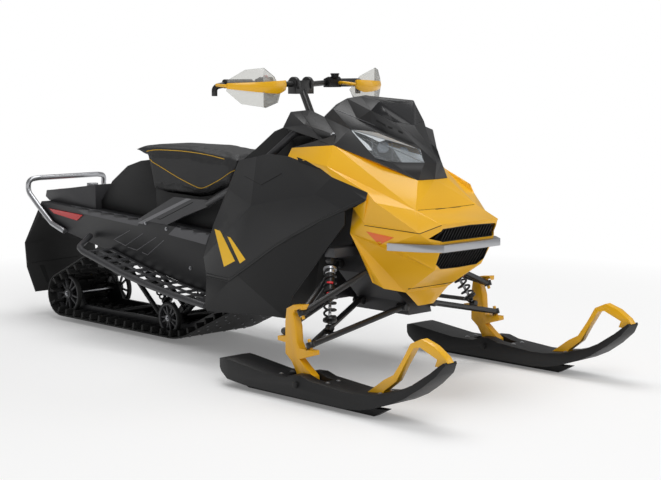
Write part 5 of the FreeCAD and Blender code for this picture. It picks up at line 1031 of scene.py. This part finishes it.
@dataclass
class Belt:
    """The rubber track: a belt with rows of lugs and clips."""

    half_width: float = 190.5 * MM
    thickness: float = 6 * MM
    gap: float = 1.2 * MM
    lug_height: float = 21.5 * MM
    pitch: float = 64 * MM
    step: float = 20 * MM
    reach: float = 165 * MM
    upper_reach: float = 120 * MM
    lug_foot: float = 9 * MM
    lug_tip: float = 5 * MM
    lug_columns: tuple[tuple[float, float, float], ...] = (
        (-188, -124, 0), (-116, -54, 0), (-48, -3, 32), (3, 48, 32), (54, 116, 0), (124, 188, 0),
    )
    clip_places: tuple[float, ...] = (0.062, 0.128, 0.176)
    carriers: tuple[str, ...] = (
        "rear_idlers", "forward_idlers", "slide_rails", "drive_axle", "upper_idlers",
    )

    def build(self) -> None:
        """Makes the belt and its rows of lugs."""
        path = self._path()
        shape = Shape()
        rings = []
        for index, point in enumerate(path):
            along = (path[(index + 1) % len(path)] - path[index - 1]).normalized()
            out = Vector((0, along.z, -along.y))
            rings.append([
                Vector((side * self.half_width, point.y, point.z)) + out * up
                for side, up in ((-1, 0), (1, 0), (1, self.thickness), (-1, self.thickness))
            ])
        shape.skin(rings, closed=True)
        belt = shape.piece("track_belt", CHASSIS, Slot.RUBBER)
        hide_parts("track")
        count = round(self._length(path) / self.pitch)
        repeat_on_path("track_lugs", path, self._row(), count, FINISHES[Slot.RUBBER], Slot.RUBBER)
        repeat_on_path("track_clips", path, self._clips(), count, FINISHES[Slot.STEEL], Slot.STEEL)

    def _path(self) -> list[Vector]:
        """The belt's inner face, drawn tight round the wheels and rails."""
        flat = [
            Vector((v.co.y, v.co.z)) for node in self.carriers
            for v in frame["nodes"][node].data.vertices
            if abs(v.co.x) < (self.upper_reach if node == "upper_idlers" else self.reach)
        ]
        hull = [flat[index] for index in convex_hull_2d(flat)]
        centre = sum(hull, Vector((0, 0))) / len(hull)
        spread = [p + (p - centre).normalized() * self.gap for p in hull]
        return self._even([Vector((0, p.x, p.y)) for p in spread])

    def _even(self, loop: list[Vector]) -> list[Vector]:
        """Sets points at even steps along a closed line.

        Args:
            loop: The line's corners.

        Returns:
            The points, always in the same sense round the line.
        """
        total = self._length(loop)
        count = round(total / self.step)
        size = len(loop)
        result, passed, index = [], 0.0, 0
        for number in range(count):
            target = total * number / count
            here, there = loop[index % size], loop[(index + 1) % size]
            while passed + (there - here).length < target:
                passed += (there - here).length
                index += 1
                here, there = loop[index % size], loop[(index + 1) % size]
            result.append(here.lerp(there, (target - passed) / (there - here).length))
        area = sum(a.y * b.z - b.y * a.z for a, b in zip(result, result[1:] + result[:1]))
        return result if area > 0 else list(reversed(result))

    @staticmethod
    def _length(loop: list[Vector]) -> float:
        """The length of a closed line."""
        return sum((b - a).length for a, b in zip(loop, loop[1:] + loop[:1]))

    def _row(self) -> bpy.types.Object:
        """One pitch of lugs: along Y, standing up in Z, across the belt in X."""
        shape = Shape()
        base = self.thickness * 0.6
        levels = (
            (base, self.lug_foot, 0), (base + 4 * MM, self.lug_tip * 1.3, 2 * MM),
            (self.thickness + self.lug_height, self.lug_tip, 4 * MM),
        )
        for low, high, shift in self.lug_columns:
            shape.skin([
                [
                    Vector((x, shift * MM + depth, up))
                    for x, depth in (
                        (low * MM + cut, -half), (high * MM - cut, -half),
                        (high * MM - cut, half), (low * MM + cut, half),
                    )
                ]
                for up, half, cut in levels
            ])
        return item_of("lug_row", shape, 0.8 * MM)

    def _clips(self) -> bpy.types.Object:
        """The steel clips of one pitch, folded round the belt beside its windows."""
        shape = Shape()
        for side in (-1, 1):
            for x in self.clip_places:
                centre = Vector((side * x, 0, -1.4 * MM))
                for half_x, half_y, push in (
                    (9 * MM, 9 * MM, 2.2 * MM), (3 * MM, 5 * MM, -7 * MM),
                ):
                    corners = (
                        (-half_x, -half_y), (half_x, -half_y), (half_x, half_y), (-half_x, half_y),
                    )
                    outline = [centre + Vector((x_off, y_off, 0)) for x_off, y_off in corners]
                    shape.prism(outline, Vector((0, 0, push)))
        return item_of("clip_row", shape, 0.4 * MM)


def item_of(name: str, shape: Shape, bevel: float) -> bpy.types.Object:
    """Makes a loose object for a node group to repeat; it is removed afterwards.

    Args:
        name: The object's name.
        shape: Its mesh.
        bevel: Width of its rounded edges, in metres.

    Returns:
        The object.
    """
    bmesh.ops.recalc_face_normals(shape.bm, faces=shape.bm.faces[:])
    edges = [e for e in shape.bm.edges if e.is_manifold and e.calc_face_angle(0) > 0.6]
    bmesh.ops.bevel(
        shape.bm, geom=edges, offset=bevel, segments=1, affect="EDGES", clamp_overlap=True,
    )
    return linked(name, shape.mesh(name))


def repeat_group() -> bpy.types.NodeTree:
    """The node group that sets an item at even steps along a closed path in the Y-Z plane."""
    found = bpy.data.node_groups.get("repeat_on_path")
    if found is not None:
        return found
    net = Net(bpy.data.node_groups.new("repeat_on_path", "GeometryNodeTree"))
    net.sockets(
        "INPUT", Geometry="Geometry", Item="Object", Count="Int", Material="Material",
    )
    net.sockets("OUTPUT", Geometry="Geometry")
    given = net.add("NodeGroupInput").outputs
    line = net.add("GeometryNodeMeshToCurve", {"Mesh": given["Geometry"]})
    steps = net.add("GeometryNodeResampleCurve", {
        "Curve": line.outputs["Curve"], "Count": given["Count"],
    })
    points = net.add(
        "GeometryNodeCurveToPoints", {"Curve": steps.outputs["Curve"]}, mode="EVALUATED",
    ).outputs
    turn = net.add(
        "FunctionNodeAlignRotationToVector", {"Vector": points["Tangent"]}, axis="Y",
        pivot_axis="X",
    )
    item = net.add("GeometryNodeObjectInfo", {"Object": given["Item"]})
    place = net.add("GeometryNodeInstanceOnPoints", {
        "Points": points["Points"], "Instance": item.outputs["Geometry"],
        "Rotation": turn.outputs["Rotation"],
    })
    real = net.add("GeometryNodeRealizeInstances", {"Geometry": place.outputs["Instances"]})
    paint = net.add("GeometryNodeSetMaterial", {
        "Geometry": real.outputs["Geometry"], "Material": given["Material"],
    })
    net.add("NodeGroupOutput", {"Geometry": paint.outputs["Geometry"]})
    return net.tree


def repeat_on_path(
    name: str, path: list[Vector], item: bpy.types.Object, count: int, finish: Finish, slot: Slot,
) -> bpy.types.Object:
    """Repeats an item along a closed path and makes one piece of the result.

    Args:
        name: The piece's name.
        path: The closed path.
        item: What is repeated, along Y and standing up in Z; it is removed.
        count: How often it is repeated.
        finish: The finish of the result.
        slot: Its material slot.

    Returns:
        The piece.
    """
    line = bpy.data.meshes.new(f"{name}_line")
    edges = [(index, (index + 1) % len(path)) for index in range(len(path))]
    line.from_pydata([tuple(p) for p in path], edges, [])
    holder = linked(f"{name}_holder", line)
    repeat = holder.modifiers.new("repeat", "NODES")
    repeat.node_group = repeat_group()
    sockets = {
        s.name: s.identifier for s in repeat.node_group.interface.items_tree
        if s.in_out == "INPUT"
    }
    repeat[sockets["Item"]] = item
    repeat[sockets["Count"]] = count
    repeat[sockets["Material"]] = finish.material()
    mesh = evaluated_mesh(holder)
    bpy.data.objects.remove(holder)
    bpy.data.objects.remove(item)
    return add_piece(name, mesh, CHASSIS, slot, finish)


@dataclass
class Idler:
    """A spoked idler wheel with its rubber tyre."""

    radius: float
    x: float
    y: float
    z: float
    width: float = 22 * MM
    tyre: float = 7 * MM
    rim_depth: float = 7 * MM
    hub_share: float = 0.26
    spokes: int = 10
    spoke_root: float = 4.5 * MM
    spoke_tip: float = 3.2 * MM
    spoke_width: float = 10 * MM
    segments: int = 64

    def add(self, plastic: Shape, rubber: Shape, steel: Shape) -> None:
        """Adds the wheel's parts to the shapes of the wheel set.

        Args:
            plastic: The shape that takes the rim, the hub and the spokes.
            rubber: The shape that takes the tyre.
            steel: The shape that takes the bolt.
        """
        axis = Vector((1, 0, 0))
        width, half = self.width, self.width / 2
        rim = self.radius - self.tyre
        hollow = rim - self.rim_depth
        start = Vector((self.x - half, self.y, self.z))
        shoulder = self.radius - 2 * MM
        rubber.lathe(start, axis, [
            (2 * MM, rim), (1 * MM, shoulder), (4 * MM, self.radius),
            (width - 4 * MM, self.radius), (width - 1 * MM, shoulder), (width - 2 * MM, rim),
        ], self.segments, closed=True)
        plastic.lathe(start, axis, [
            (2 * MM, hollow), (1 * MM, rim), (width - 1 * MM, rim), (width - 2 * MM, hollow),
        ], self.segments, closed=True)
        hub = self.radius * self.hub_share
        plastic.lathe(start, axis, [
            (0, hub * 0.8), (1 * MM, hub), (width - 1 * MM, hub), (width, hub * 0.8),
        ])
        middle = start + axis * (half - self.spoke_width / 2)
        for number in range(self.spokes):
            angle = 2 * math.pi * (number + 0.25 * (number % 2)) / self.spokes
            out = Vector((0, math.cos(angle), math.sin(angle)))
            across = axis.cross(out)
            inner, outer = middle + out * hub * 0.9, middle + out * (hollow + 2 * MM)
            root, tip = across * self.spoke_root, across * self.spoke_tip
            plastic.prism(
                [inner - root, outer - tip, outer + tip, inner + root], axis * self.spoke_width,
            )
        face = 1 if self.x > 0 else -1
        steel.bolt(Vector((self.x + face * half, self.y, self.z)), axis * face, 8 * MM, 7 * MM)


@dataclass
class WheelSet:
    """Two spoked idlers on their axle, in place of a node."""

    node: str
    wheel_inset: float = 11 * MM
    axle_inset: float = 2 * MM
    axle_radius: float = 10 * MM

    def build(self) -> None:
        """Makes the set's pieces from the node's box."""
        low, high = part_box(self.node)
        radius = (high.z - low.z) / 2
        y, z = (low.y + high.y) / 2, (low.z + high.z) / 2
        plastic, rubber, steel = Shape(), Shape(), Shape()
        for side in (-1, 1):
            x = side * (high.x - self.wheel_inset)
            Idler(radius, x, y, z).add(plastic, rubber, steel)
        ends = (low.x + self.axle_inset, high.x - self.axle_inset)
        steel.tube([Vector((x, y, z)) for x in ends], self.axle_radius)
        wheels = plastic.piece(
            f"{self.node}_wheels", CHASSIS, Slot.BLACK_PLASTIC, WHEEL_GREY, bevel=0.6 * MM,
        )
        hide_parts(self.node)
        rubber.piece(f"{self.node}_tyres", CHASSIS, Slot.RUBBER)
        steel.piece(f"{self.node}_axle", CHASSIS, Slot.STEEL)


@dataclass(frozen=True)
class Detail:
    """Thin trim, painted seam shadows and painted highlights on a few nodes, made as one piece; its
    routes are pixels of the main view.

    A line is a tube of the radius given with it, a plate stands as proud as its lift, and a
    bolt sits at its pixel.
    """

    name: str
    nodes: tuple[str, ...]
    slot: Slot
    finish: Finish | None = None
    lines: tuple[tuple[float, Route], ...] = ()
    plates: tuple[tuple[float, Route], ...] = ()
    bolts: Route = ()
    bolt_radius: float = 5 * MM
    bolt_height: float = 4 * MM
    both_sides: bool = True

    def build(self) -> None:
        """Makes the piece."""
        rays = ViewRays(*self.nodes)
        shape = Shape()
        for radius, route in self.lines:
            rays.seam(shape, route, radius)
        for lift, outline in self.plates:
            rays.patch(shape, outline, lift)
        for pixel in self.bolts:
            found = rays.hit(*pixel)
            if found is not None:
                shape.bolt(found[0], found[1], self.bolt_radius, self.bolt_height)
        if self.both_sides:
            shape.mirror()
        shape.piece(self.name, CHASSIS, self.slot, self.finish)


def slit(start: Pixel, end: Pixel, half: float = 0.9) -> Route:
    """The outline of a narrow slot between two pixels."""
    (u_a, v_a), (u_b, v_b) = start, end
    return (u_a, v_a - half), (u_b, v_b - half), (u_b, v_b + half), (u_a, v_a + half)


SIDE = ("side_panel_right", "nose_cowl", "footwell_right")
NOSE = ("nose_cowl", "nose_lower", "side_panel_right", "front_bumper")
HOOD = ("hood", "windshield", "console")
CONSOLE = ("console", "hood", "side_panel_right", "nose_cowl")
TUNNEL = ("tunnel", "frame_struts", "rear_deck")
PLATE = 0.8 * MM
BAND = 0.6 * MM
BORDER = ((206.9, 276.2), (229.2, 281.3), (275.2, 247.4), (319.8, 221.9), (364.4, 201.5))
DETAILS = (
    Detail("side_stripes", SIDE, Slot.YELLOW_PLASTIC, STRIPE, plates=(
        (PLATE, ((214.6, 229), (220.3, 231), (235, 261), (224.1, 266.8))),
        (PLATE, ((227.5, 236.5), (230.5, 237.5), (245.5, 259.5), (240, 263.5))),
    )),
    Detail("side_grooves", SIDE, Slot.BLACK_PLASTIC, SEAM, lines=(
        (1.5 * MM, BORDER), (1.0 * MM, ((244.5, 176), (261, 185), (281.5, 173.5))),
    ), plates=(
        (PLATE, ((297, 157), (299, 162), (315, 168), (321, 169.5), (307, 161))),
    )),
    Detail("side_border_rim", SIDE, Slot.DARK_PLASTIC, lines=(
        (2.2 * MM, tuple((u - 0.6, v - 2.6) for u, v in BORDER)),
    )),
    Detail("nose_seams", NOSE, Slot.BLACK_PLASTIC, SEAM, lines=(
        (1.2 * MM, ((364.6, 225.4), (419.8, 233.8), (441.6, 225.4))),
        (1.0 * MM, ((418.1, 210.3), (460.5, 207))),
        (1.6 * MM, ((408.1, 289), (446, 283.4))),
    )),
    Detail("nose_reflectors", NOSE, Slot.RED_LENS, AMBER, plates=(
        (1.5 * MM, ((366.3, 231.4), (393.9, 237.6), (379.6, 244.7))),
    )),
    # Painted highlight: grey lines along the hood's crease ridges.
    Detail("hood_creases", HOOD, Slot.DARK_PLASTIC, GREY_BAND_AND_HIGHLIGHT, lines=(
        (1.6 * MM, ((335.1, 109.5), (375.3, 125.6))), (1.4 * MM, ((378.7, 101.5), (370.7, 110.7))),
    )),
    Detail("hood_slots", HOOD, Slot.BLACK_PLASTIC, SEAM, plates=(
        (PLATE, slit((376.4, 120.4), (385.6, 125.6))), (PLATE, slit((387.9, 126.7), (392.5, 128.5))),
        (PLATE, slit((398.2, 130.8), (402.8, 133.1))),
    )),
    Detail("console_lines", CONSOLE, Slot.BLACK_PLASTIC, SEAM, lines=(
        (1.1 * MM, ((301.8, 113), (319, 137.6))), (1.3 * MM, ((284.6, 128), (328.2, 144))),
    )),
    Detail("console_bolts", CONSOLE, Slot.STEEL, bolts=((332.8, 134.0),)),
    Detail("tunnel_bands", TUNNEL, Slot.GREY_METAL, GREY_BAND_AND_HIGHLIGHT, plates=(
        (BAND, ((70.5, 205.2), (142.9, 218.6), (137.5, 225.9), (83.9, 213.9))),
        (BAND, ((177.7, 225.3), (209.8, 233.3), (205.8, 244.7), (168.3, 234.6))),
    )),
    # Painted highlight: light grey lines along the tunnel's vent ridges.
    Detail("tunnel_ridges", TUNNEL, Slot.DARK_METAL, EDGE_HIGHLIGHT, lines=(
        (1.3 * MM, ((130.1, 230.3), (114.0, 239.5), (125.5, 245.6), (143.1, 233.4))),
        (1.3 * MM, ((127.8, 247.1), (137.0, 250.2), (156.1, 237.2))),
        (1.3 * MM, ((142.4, 252.5), (147.7, 254.8), (163.8, 240.3))),
    )),
    # Painted highlight: a light grey strip along the strut's edge.
    Detail("strut_edges", TUNNEL, Slot.GREY_METAL, EDGE_HIGHLIGHT, plates=(
        (PLATE, ((137.5, 223.0), (186.5, 198.4), (191.5, 199.0), (142.5, 224.0))),
    )),
    Detail("strut_slots", TUNNEL, Slot.GREY_METAL, SEAM, lines=(
        (1.5 * MM, ((157.7, 218.8), (160.5, 219.2), (192.5, 202.5))),
    )),
    Detail(
        "tunnel_bolts", TUNNEL, Slot.STEEL, bolts=((145.5, 222.9), (166.3, 228.9), (190.4, 268.1)),
        bolt_radius=5.5 * MM, bolt_height=5 * MM,
    ),
    Detail("flap_lines", ("snow_flap",), Slot.RUBBER, SEAM, lines=(
        (1.6 * MM, ((31.7, 262.8), (78.6, 256.1))),
    ), plates=(
        (PLATE, ((39.7, 265.4), (44.0, 264.8), (50.0, 282.0), (47.1, 282.8))),
    ), both_sides=False),
)


@dataclass
class Headlamp:
    """The inside of a headlamp: a dark tray with bowls, fins and a bright bezel.

    The outline, the bowls' middles and the fins' ends are pixels of the main view.
    """

    depth: float = 34 * MM
    wall: float = 2 * MM
    behind_lens: float = 7 * MM
    draw_in: float = 12 * MM
    inset: float = 0.93
    outline: Route = (
        (350, 129), (362.7, 133.6), (377.6, 130.8), (416.6, 146.3), (425.2, 149.7),
        (424.6, 162.9), (378.7, 160), (365, 141.7),
    )
    bowls: tuple[tuple[Pixel, float], ...] = (((383, 146), 19 * MM), ((403, 151), 17 * MM))
    bowl_share: float = 0.8
    bezel: float = 2.5 * MM
    fins: tuple[Route, ...] = (
        ((372, 137), (372, 154)), ((392, 141), (392, 159)), ((413, 141), (413, 159)),
    )
    fin_depth: float = 9 * MM
    fin_radius: float = 1.6 * MM

    def build(self) -> None:
        """Makes both lamps' insides."""
        rays = ViewRays("headlamp_lenses")
        middle = [sum(values) / len(self.outline) for values in zip(*self.outline)]
        pixels = [
            [m + (value - m) * self.inset for value, m in zip(corner, middle)]
            for corner in self.outline
        ]
        hits = [found for found in (rays.hit(u, v) for u, v in pixels) if found]
        log.info("headlamp: %d corners of %d", len(hits), len(pixels))
        inwards = -sum((normal for _, normal in hits), Vector()).normalized()
        self._tray([place for place, _ in hits], inwards)
        self._fill(rays, inwards)

    def _tray(self, corners: list[Vector], inwards: Vector) -> None:
        """The housing: a wall round the lens and a floor behind it.

        Args:
            corners: Places on the lens, in turn.
            inwards: The direction into the lamp.
        """
        centre = sum(corners, Vector()) / len(corners)
        rings = []
        for corner in corners:
            out = corner - centre
            out = (out - inwards * out.dot(inwards)).normalized()
            edge = corner + inwards * self.behind_lens
            deep = corner + inwards * self.depth - out * self.draw_in
            rings.append([edge, deep, deep - out * self.wall, edge - out * self.wall])
        tray = Shape()
        tray.skin(rings, closed=True)
        tray.prism([ring[1] for ring in rings], inwards * self.wall)
        tray.mirror()
        tray.piece("lamp_trays", CHASSIS, Slot.BLACK_PLASTIC, LAMP_BLACK)

    def _fill(self, rays: ViewRays, inwards: Vector) -> None:
        """Makes the chrome bowls with their rims, and the fins between them.

        Args:
            rays: Finds places on the lens.
            inwards: The direction into the lamp.
        """
        bowls, rims, fins = Shape(), Shape(), Shape()
        for pixel, radius in self.bowls:
            found = rays.hit(*pixel)
            if found is None:
                continue
            back = found[0] + inwards * (self.depth * self.bowl_share)
            bowls.lathe(back, -inwards, [
                (0, 1 * MM), (2 * MM, radius * 0.35), (8 * MM, radius * 0.8), (14 * MM, radius),
                (15 * MM, radius), (9 * MM, radius * 0.86), (3 * MM, radius * 0.4),
                (1 * MM, 1 * MM),
            ])
            wide = radius + self.bezel
            rims.lathe(back - inwards * 13 * MM, -inwards, [
                (0, radius), (0, wide), (3 * MM, wide), (3 * MM, radius),
            ])
        for route in self.fins:
            ends = [rays.hit(*pixel) for pixel in route]
            if None in ends:
                continue
            high, low = (place + inwards * self.fin_depth for place, _ in ends)
            fins.tube([high, high.lerp(low, 0.5), low], self.fin_radius, sides=6)
        for shape, name, finish in (
            (bowls, "lamp_bowls", CHROME), (rims, "lamp_rims", LAMP_GREY),
            (fins, "lamp_fins", LAMP_GREY),
        ):
            shape.mirror()
            shape.piece(name, CHASSIS, Slot.SILVER_METAL, finish)


@dataclass
class Guard:
    """A yellow hand guard, deep beside the grip and tapered to its outer tip."""

    inner_x: float = 0.190
    outer_x: float = 0.411
    bow: float = 14 * MM
    front_gap: float = 14 * MM
    sweep: float = 80 * MM
    drop: float = 10 * MM
    depth: float = 52 * MM
    taper: float = 30 * MM
    half_wall: float = 6 * MM
    sections: int = 14
    tip_clamp: tuple[float, float, float] = (0.392, -0.186, 1.088)
    tip_bend: tuple[float, float, float] = (0.398, 0.05, 1.086)
    inner_bend: Pixel = (-0.262, 1.092)
    inner_clamp: Pixel = (-0.224, 1.091)

    def build(self) -> None:
        """Makes both guards in place of their node."""
        low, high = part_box("hand_guards")
        shape = Shape()
        rings = [
            self._section(number / self.sections, low.y, high.z)
            for number in range(self.sections + 1)
        ]
        shape.skin(rings)
        end = rings[-1][4]
        x, behind, z = self.tip_bend
        shape.tube([end, Vector((x, end.y + behind, z)), Vector(self.tip_clamp)], 6 * MM)
        start = rings[1][4]
        shape.tube([
            start, Vector((start.x, *self.inner_bend)), Vector((start.x, *self.inner_clamp)),
        ], 7 * MM)
        shape.mirror()
        guards = shape.piece("hand_guard_shells", "handlebar", Slot.YELLOW_PLASTIC, bevel=1 * MM)
        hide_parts("hand_guards")

    def _section(self, share: float, front_y: float, top_z: float) -> list[Vector]:
        """The guard's section at a share of its length.

        Args:
            share: 0 at the grip and 1 at the tip.
            front_y: The foremost place of the guards' space.
            top_z: Its highest place.

        Returns:
            Six corners, three in front and three behind.
        """
        x = self.inner_x + (self.outer_x - self.inner_x) * share
        bulge = math.sin(math.pi * share) * self.bow
        front = front_y + self.front_gap + (share ** 2.2) * self.sweep - bulge
        top = top_z - 2 * MM - share * self.drop
        deep = (self.depth - self.taper * share ** 1.5) * (0.72 + 0.28 * min(1, share * 6))
        half = self.half_wall * (1 - 0.35 * share)
        corners = (
            (-0.3, 0), (-1, 0.5), (-0.2, 1), (1.2, 0.9), (1, 0.5), (1.2, 0.1),
        )
        return [Vector((x, front + half * back, top - deep * down)) for back, down in corners]


@dataclass
class SkiBolts:
    """Silver bolts through each ski at its loop's foot and beside its channel."""

    places: tuple[float, ...] = (-1.172, -0.925, -0.690)
    offset: float = 26 * MM
    radius: float = 6 * MM
    height: float = 4 * MM

    def build(self) -> None:
        """Makes the bolts of both skis."""
        down = Vector((0, 0, -1))
        for _, word in SIDES:
            tree = tree_of(frame["nodes"][f"ski_{word}"].data)
            low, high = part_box(f"ski_{word}")
            middle = (low.x + high.x) / 2
            shape = Shape()
            for y in self.places:
                for x in (middle - self.offset, middle + self.offset):
                    place, normal, _, _ = tree.ray_cast(Vector((x, y, 1)), down)
                    if place is not None:
                        foot = place - normal * 0.5 * MM
                        shape.bolt(foot, normal, self.radius, self.height)
            shape.piece(f"ski_bolts_{word}", f"ski_{word}", Slot.SILVER_METAL)


@dataclass
class Controls:
    """Clamps, button and reservoir on the handlebar."""

    body: str = "handlebar"
    bar: tuple[float, float, float] = (0, -0.232, 1.088)
    clamp_x: float = 36 * MM
    clamp_width: float = 16 * MM
    clamp_radii: tuple[float, float] = (15 * MM, 29 * MM)
    button: tuple[float, float, float] = (-0.183, -0.228, 1.112)
    reservoir: tuple[float, float, float] = (0.183, -0.236, 1.112)

    def build(self) -> None:
        """Makes the handlebar's small pieces."""
        across, upwards = Vector((1, 0, 0)), Vector((0, 0, 1))
        inner, outer = self.clamp_radii
        clamps, button, cup = Shape(), Shape(), Shape()
        for side in (-1, 1):
            start = Vector(self.bar) + across * (side * self.clamp_x - self.clamp_width / 2)
            clamps.lathe(start, across, [
                (0, inner), (0, outer), (self.clamp_width, outer), (self.clamp_width, inner),
            ])
        clamps.piece("bar_clamps", self.body, Slot.BLACK_METAL, bevel=1 * MM)
        button.lathe(Vector(self.button), upwards, [
            (0, 11 * MM), (3 * MM, 11 * MM), (4 * MM, 8 * MM), (9 * MM, 8 * MM),
            (11 * MM, 6 * MM),
        ])
        button.piece("stop_button", self.body, Slot.RED_LENS, RED_MARK)
        cup.lathe(Vector(self.reservoir), upwards, [
            (0, 15 * MM), (12 * MM, 16 * MM), (13 * MM, 18 * MM), (17 * MM, 18 * MM),
            (18 * MM, 16 * MM),
        ])
        cup.piece("brake_reservoir", self.body, Slot.BLACK_PLASTIC)


@dataclass(frozen=True)
class SoftLight:
    """A square soft light that looks at a target; its power is in watts."""

    name: str
    place: tuple[float, float, float]
    target: tuple[float, float, float]
    size: float
    power: float

    def build(self) -> None:
        """Adds the light."""
        data = bpy.data.lights.new(self.name, "AREA")
        data.size = self.size
        data.energy = self.power
        light = linked(self.name, data)
        light.location = self.place
        gaze = Vector(self.target) - Vector(self.place)
        light.rotation_euler = gaze.to_track_quat("-Z", "Y").to_euler()


class Studio:
    """Camera, lights and floor."""

    position = Vector((-3.97505, -4.45122, 1.15444))
    right = Vector((0.71397826, -0.70016705, -0.00107149))
    up = Vector((0.08248621, 0.08259343, 0.99316381))
    back = Vector((-0.69529208, -0.70918575, 0.11672404))
    lens = 80.15
    sensor = 36
    white = (1, 1, 1, 1)
    soft_strength = 0.3
    floor_span = 16.0
    floor_colour = (0.97, 0.97, 0.97, 1)
    fade_from = 1.1
    fade_to = 3.4
    least_glow = 0.16
    lights = (
        SoftLight("key", (-2.6, -4.2, 4.4), (0, 0, 0.4), 2.6, 105),
        SoftLight("top", (0.6, 0.4, 4.6), (0, 0, 0.3), 3.4, 125),
        SoftLight("fill", (3.8, -3.0, 2.4), (0, -0.4, 0.5), 2.6, 24),
    )

    def build(self) -> None:
        """Sets up the view."""
        self._camera()
        self._world()
        self._floor()
        for light in self.lights:
            light.build()
        bpy.context.scene.view_settings.view_transform = "Standard"

    def _camera(self) -> None:
        """Places the camera as it stood for the photograph."""
        data = bpy.data.cameras.new("camera")
        data.lens = self.lens
        data.sensor_width = self.sensor
        camera = linked("camera", data)
        turn = Matrix((self.right, self.up, self.back)).transposed().to_4x4()
        turn.translation = self.position
        camera.matrix_world = turn
        bpy.context.scene.camera = camera

    def _world(self) -> None:
        """White for the camera, and softer light for the rest."""
        world = bpy.data.worlds.new("studio")
        world.use_nodes = True
        world.node_tree.nodes.clear()
        net = Net(world.node_tree)
        path = net.add("ShaderNodeLightPath").outputs
        white = net.add("ShaderNodeBackground", {"Color": self.white})
        soft = net.add("ShaderNodeBackground", {
            "Color": self.white, "Strength": self.soft_strength,
        })
        seen = net.math("MAXIMUM", path["Is Camera Ray"], path["Is Transmission Ray"])
        mix = net.add("ShaderNodeMixShader", {"Fac": seen, 1: soft.outputs[0], 2: white.outputs[0]})
        net.add("ShaderNodeOutputWorld", {"Surface": mix.outputs[0]})
        bpy.context.scene.world = world

    def _floor(self) -> None:
        """A pale floor that fades into the background away from the object."""
        shape = Shape()
        corners = ((-1, -1), (1, -1), (1, 1), (-1, 1))
        shape.bm.faces.new([
            shape.bm.verts.new((x * self.floor_span, y * self.floor_span, 0)) for x, y in corners
        ])
        floor = linked("floor", shape.mesh("floor"))
        floor.data.materials.append(self._floor_material())

    def _floor_material(self) -> bpy.types.Material:
        """The floor's material, which glows more the farther it lies from the middle."""
        made = bpy.data.materials.new("floor")
        made.use_nodes = True
        made.node_tree.nodes.clear()
        net = Net(made.node_tree)
        place = net.add("ShaderNodeTexCoord")
        reach = net.add(
            "ShaderNodeVectorMath", {0: place.outputs["Object"]}, operation="LENGTH",
        )
        fade = net.add("ShaderNodeMapRange", {
            "From Min": self.fade_from, "From Max": self.fade_to, "To Min": self.least_glow,
            "Value": reach.outputs["Value"],
        })
        plain = net.add("ShaderNodeBsdfDiffuse", {"Color": self.floor_colour})
        glow = net.add("ShaderNodeEmission", {"Color": self.white})
        mix = net.add("ShaderNodeMixShader", {
            "Fac": fade.outputs["Result"], 1: plain.outputs[0], 2: glow.outputs[0],
        })
        net.add("ShaderNodeOutputMaterial", {"Surface": mix.outputs[0]})
        return made


FRONT_SHOCK = ((0.300, -0.701, 0.462), (0.392, -0.7925, 0.240))
SKID_SHOCKS = (
    ("rear_shock", (0, 0.804, 0.278), (0, 0.6066, 0.1145), 7),
    ("centre_shock", (0, 0.136, 0.350), (0, 0.5106, 0.1145), 9),
)


def add_shocks() -> None:
    """Builds the two front shocks and the two in the skid, in place of their nodes."""
    for side, word in SIDES:
        top, low = (Vector((side * x, y, z)) for x, y, z in FRONT_SHOCK)
        name = f"front_shock_{word}"
        Shock(top, low, Vector((0, 1, 0))).build(name, name, True)
    for name, top, low, turns in SKID_SHOCKS:
        shock = Shock(Vector(top), Vector(low), Vector((1, 0, 0)), turns=turns)
        shock.build(name, "rear_shocks", False)


def main() -> None:
    """Builds and dresses every piece, then sets up the view."""
    NodeDresser().dress_all()
    Seat().build()
    Belt().build()
    for node in ("rear_idlers", "forward_idlers"):
        WheelSet(node).build()
    add_shocks()
    for detail in DETAILS:
        detail.build()
    Headlamp().build()
    Guard().build()
    Controls().build()
    SkiBolts().build()
    Studio().build()


if __name__ == "__main__":
    logging.basicConfig(level=logging.INFO, format="%(message)s")
    main()
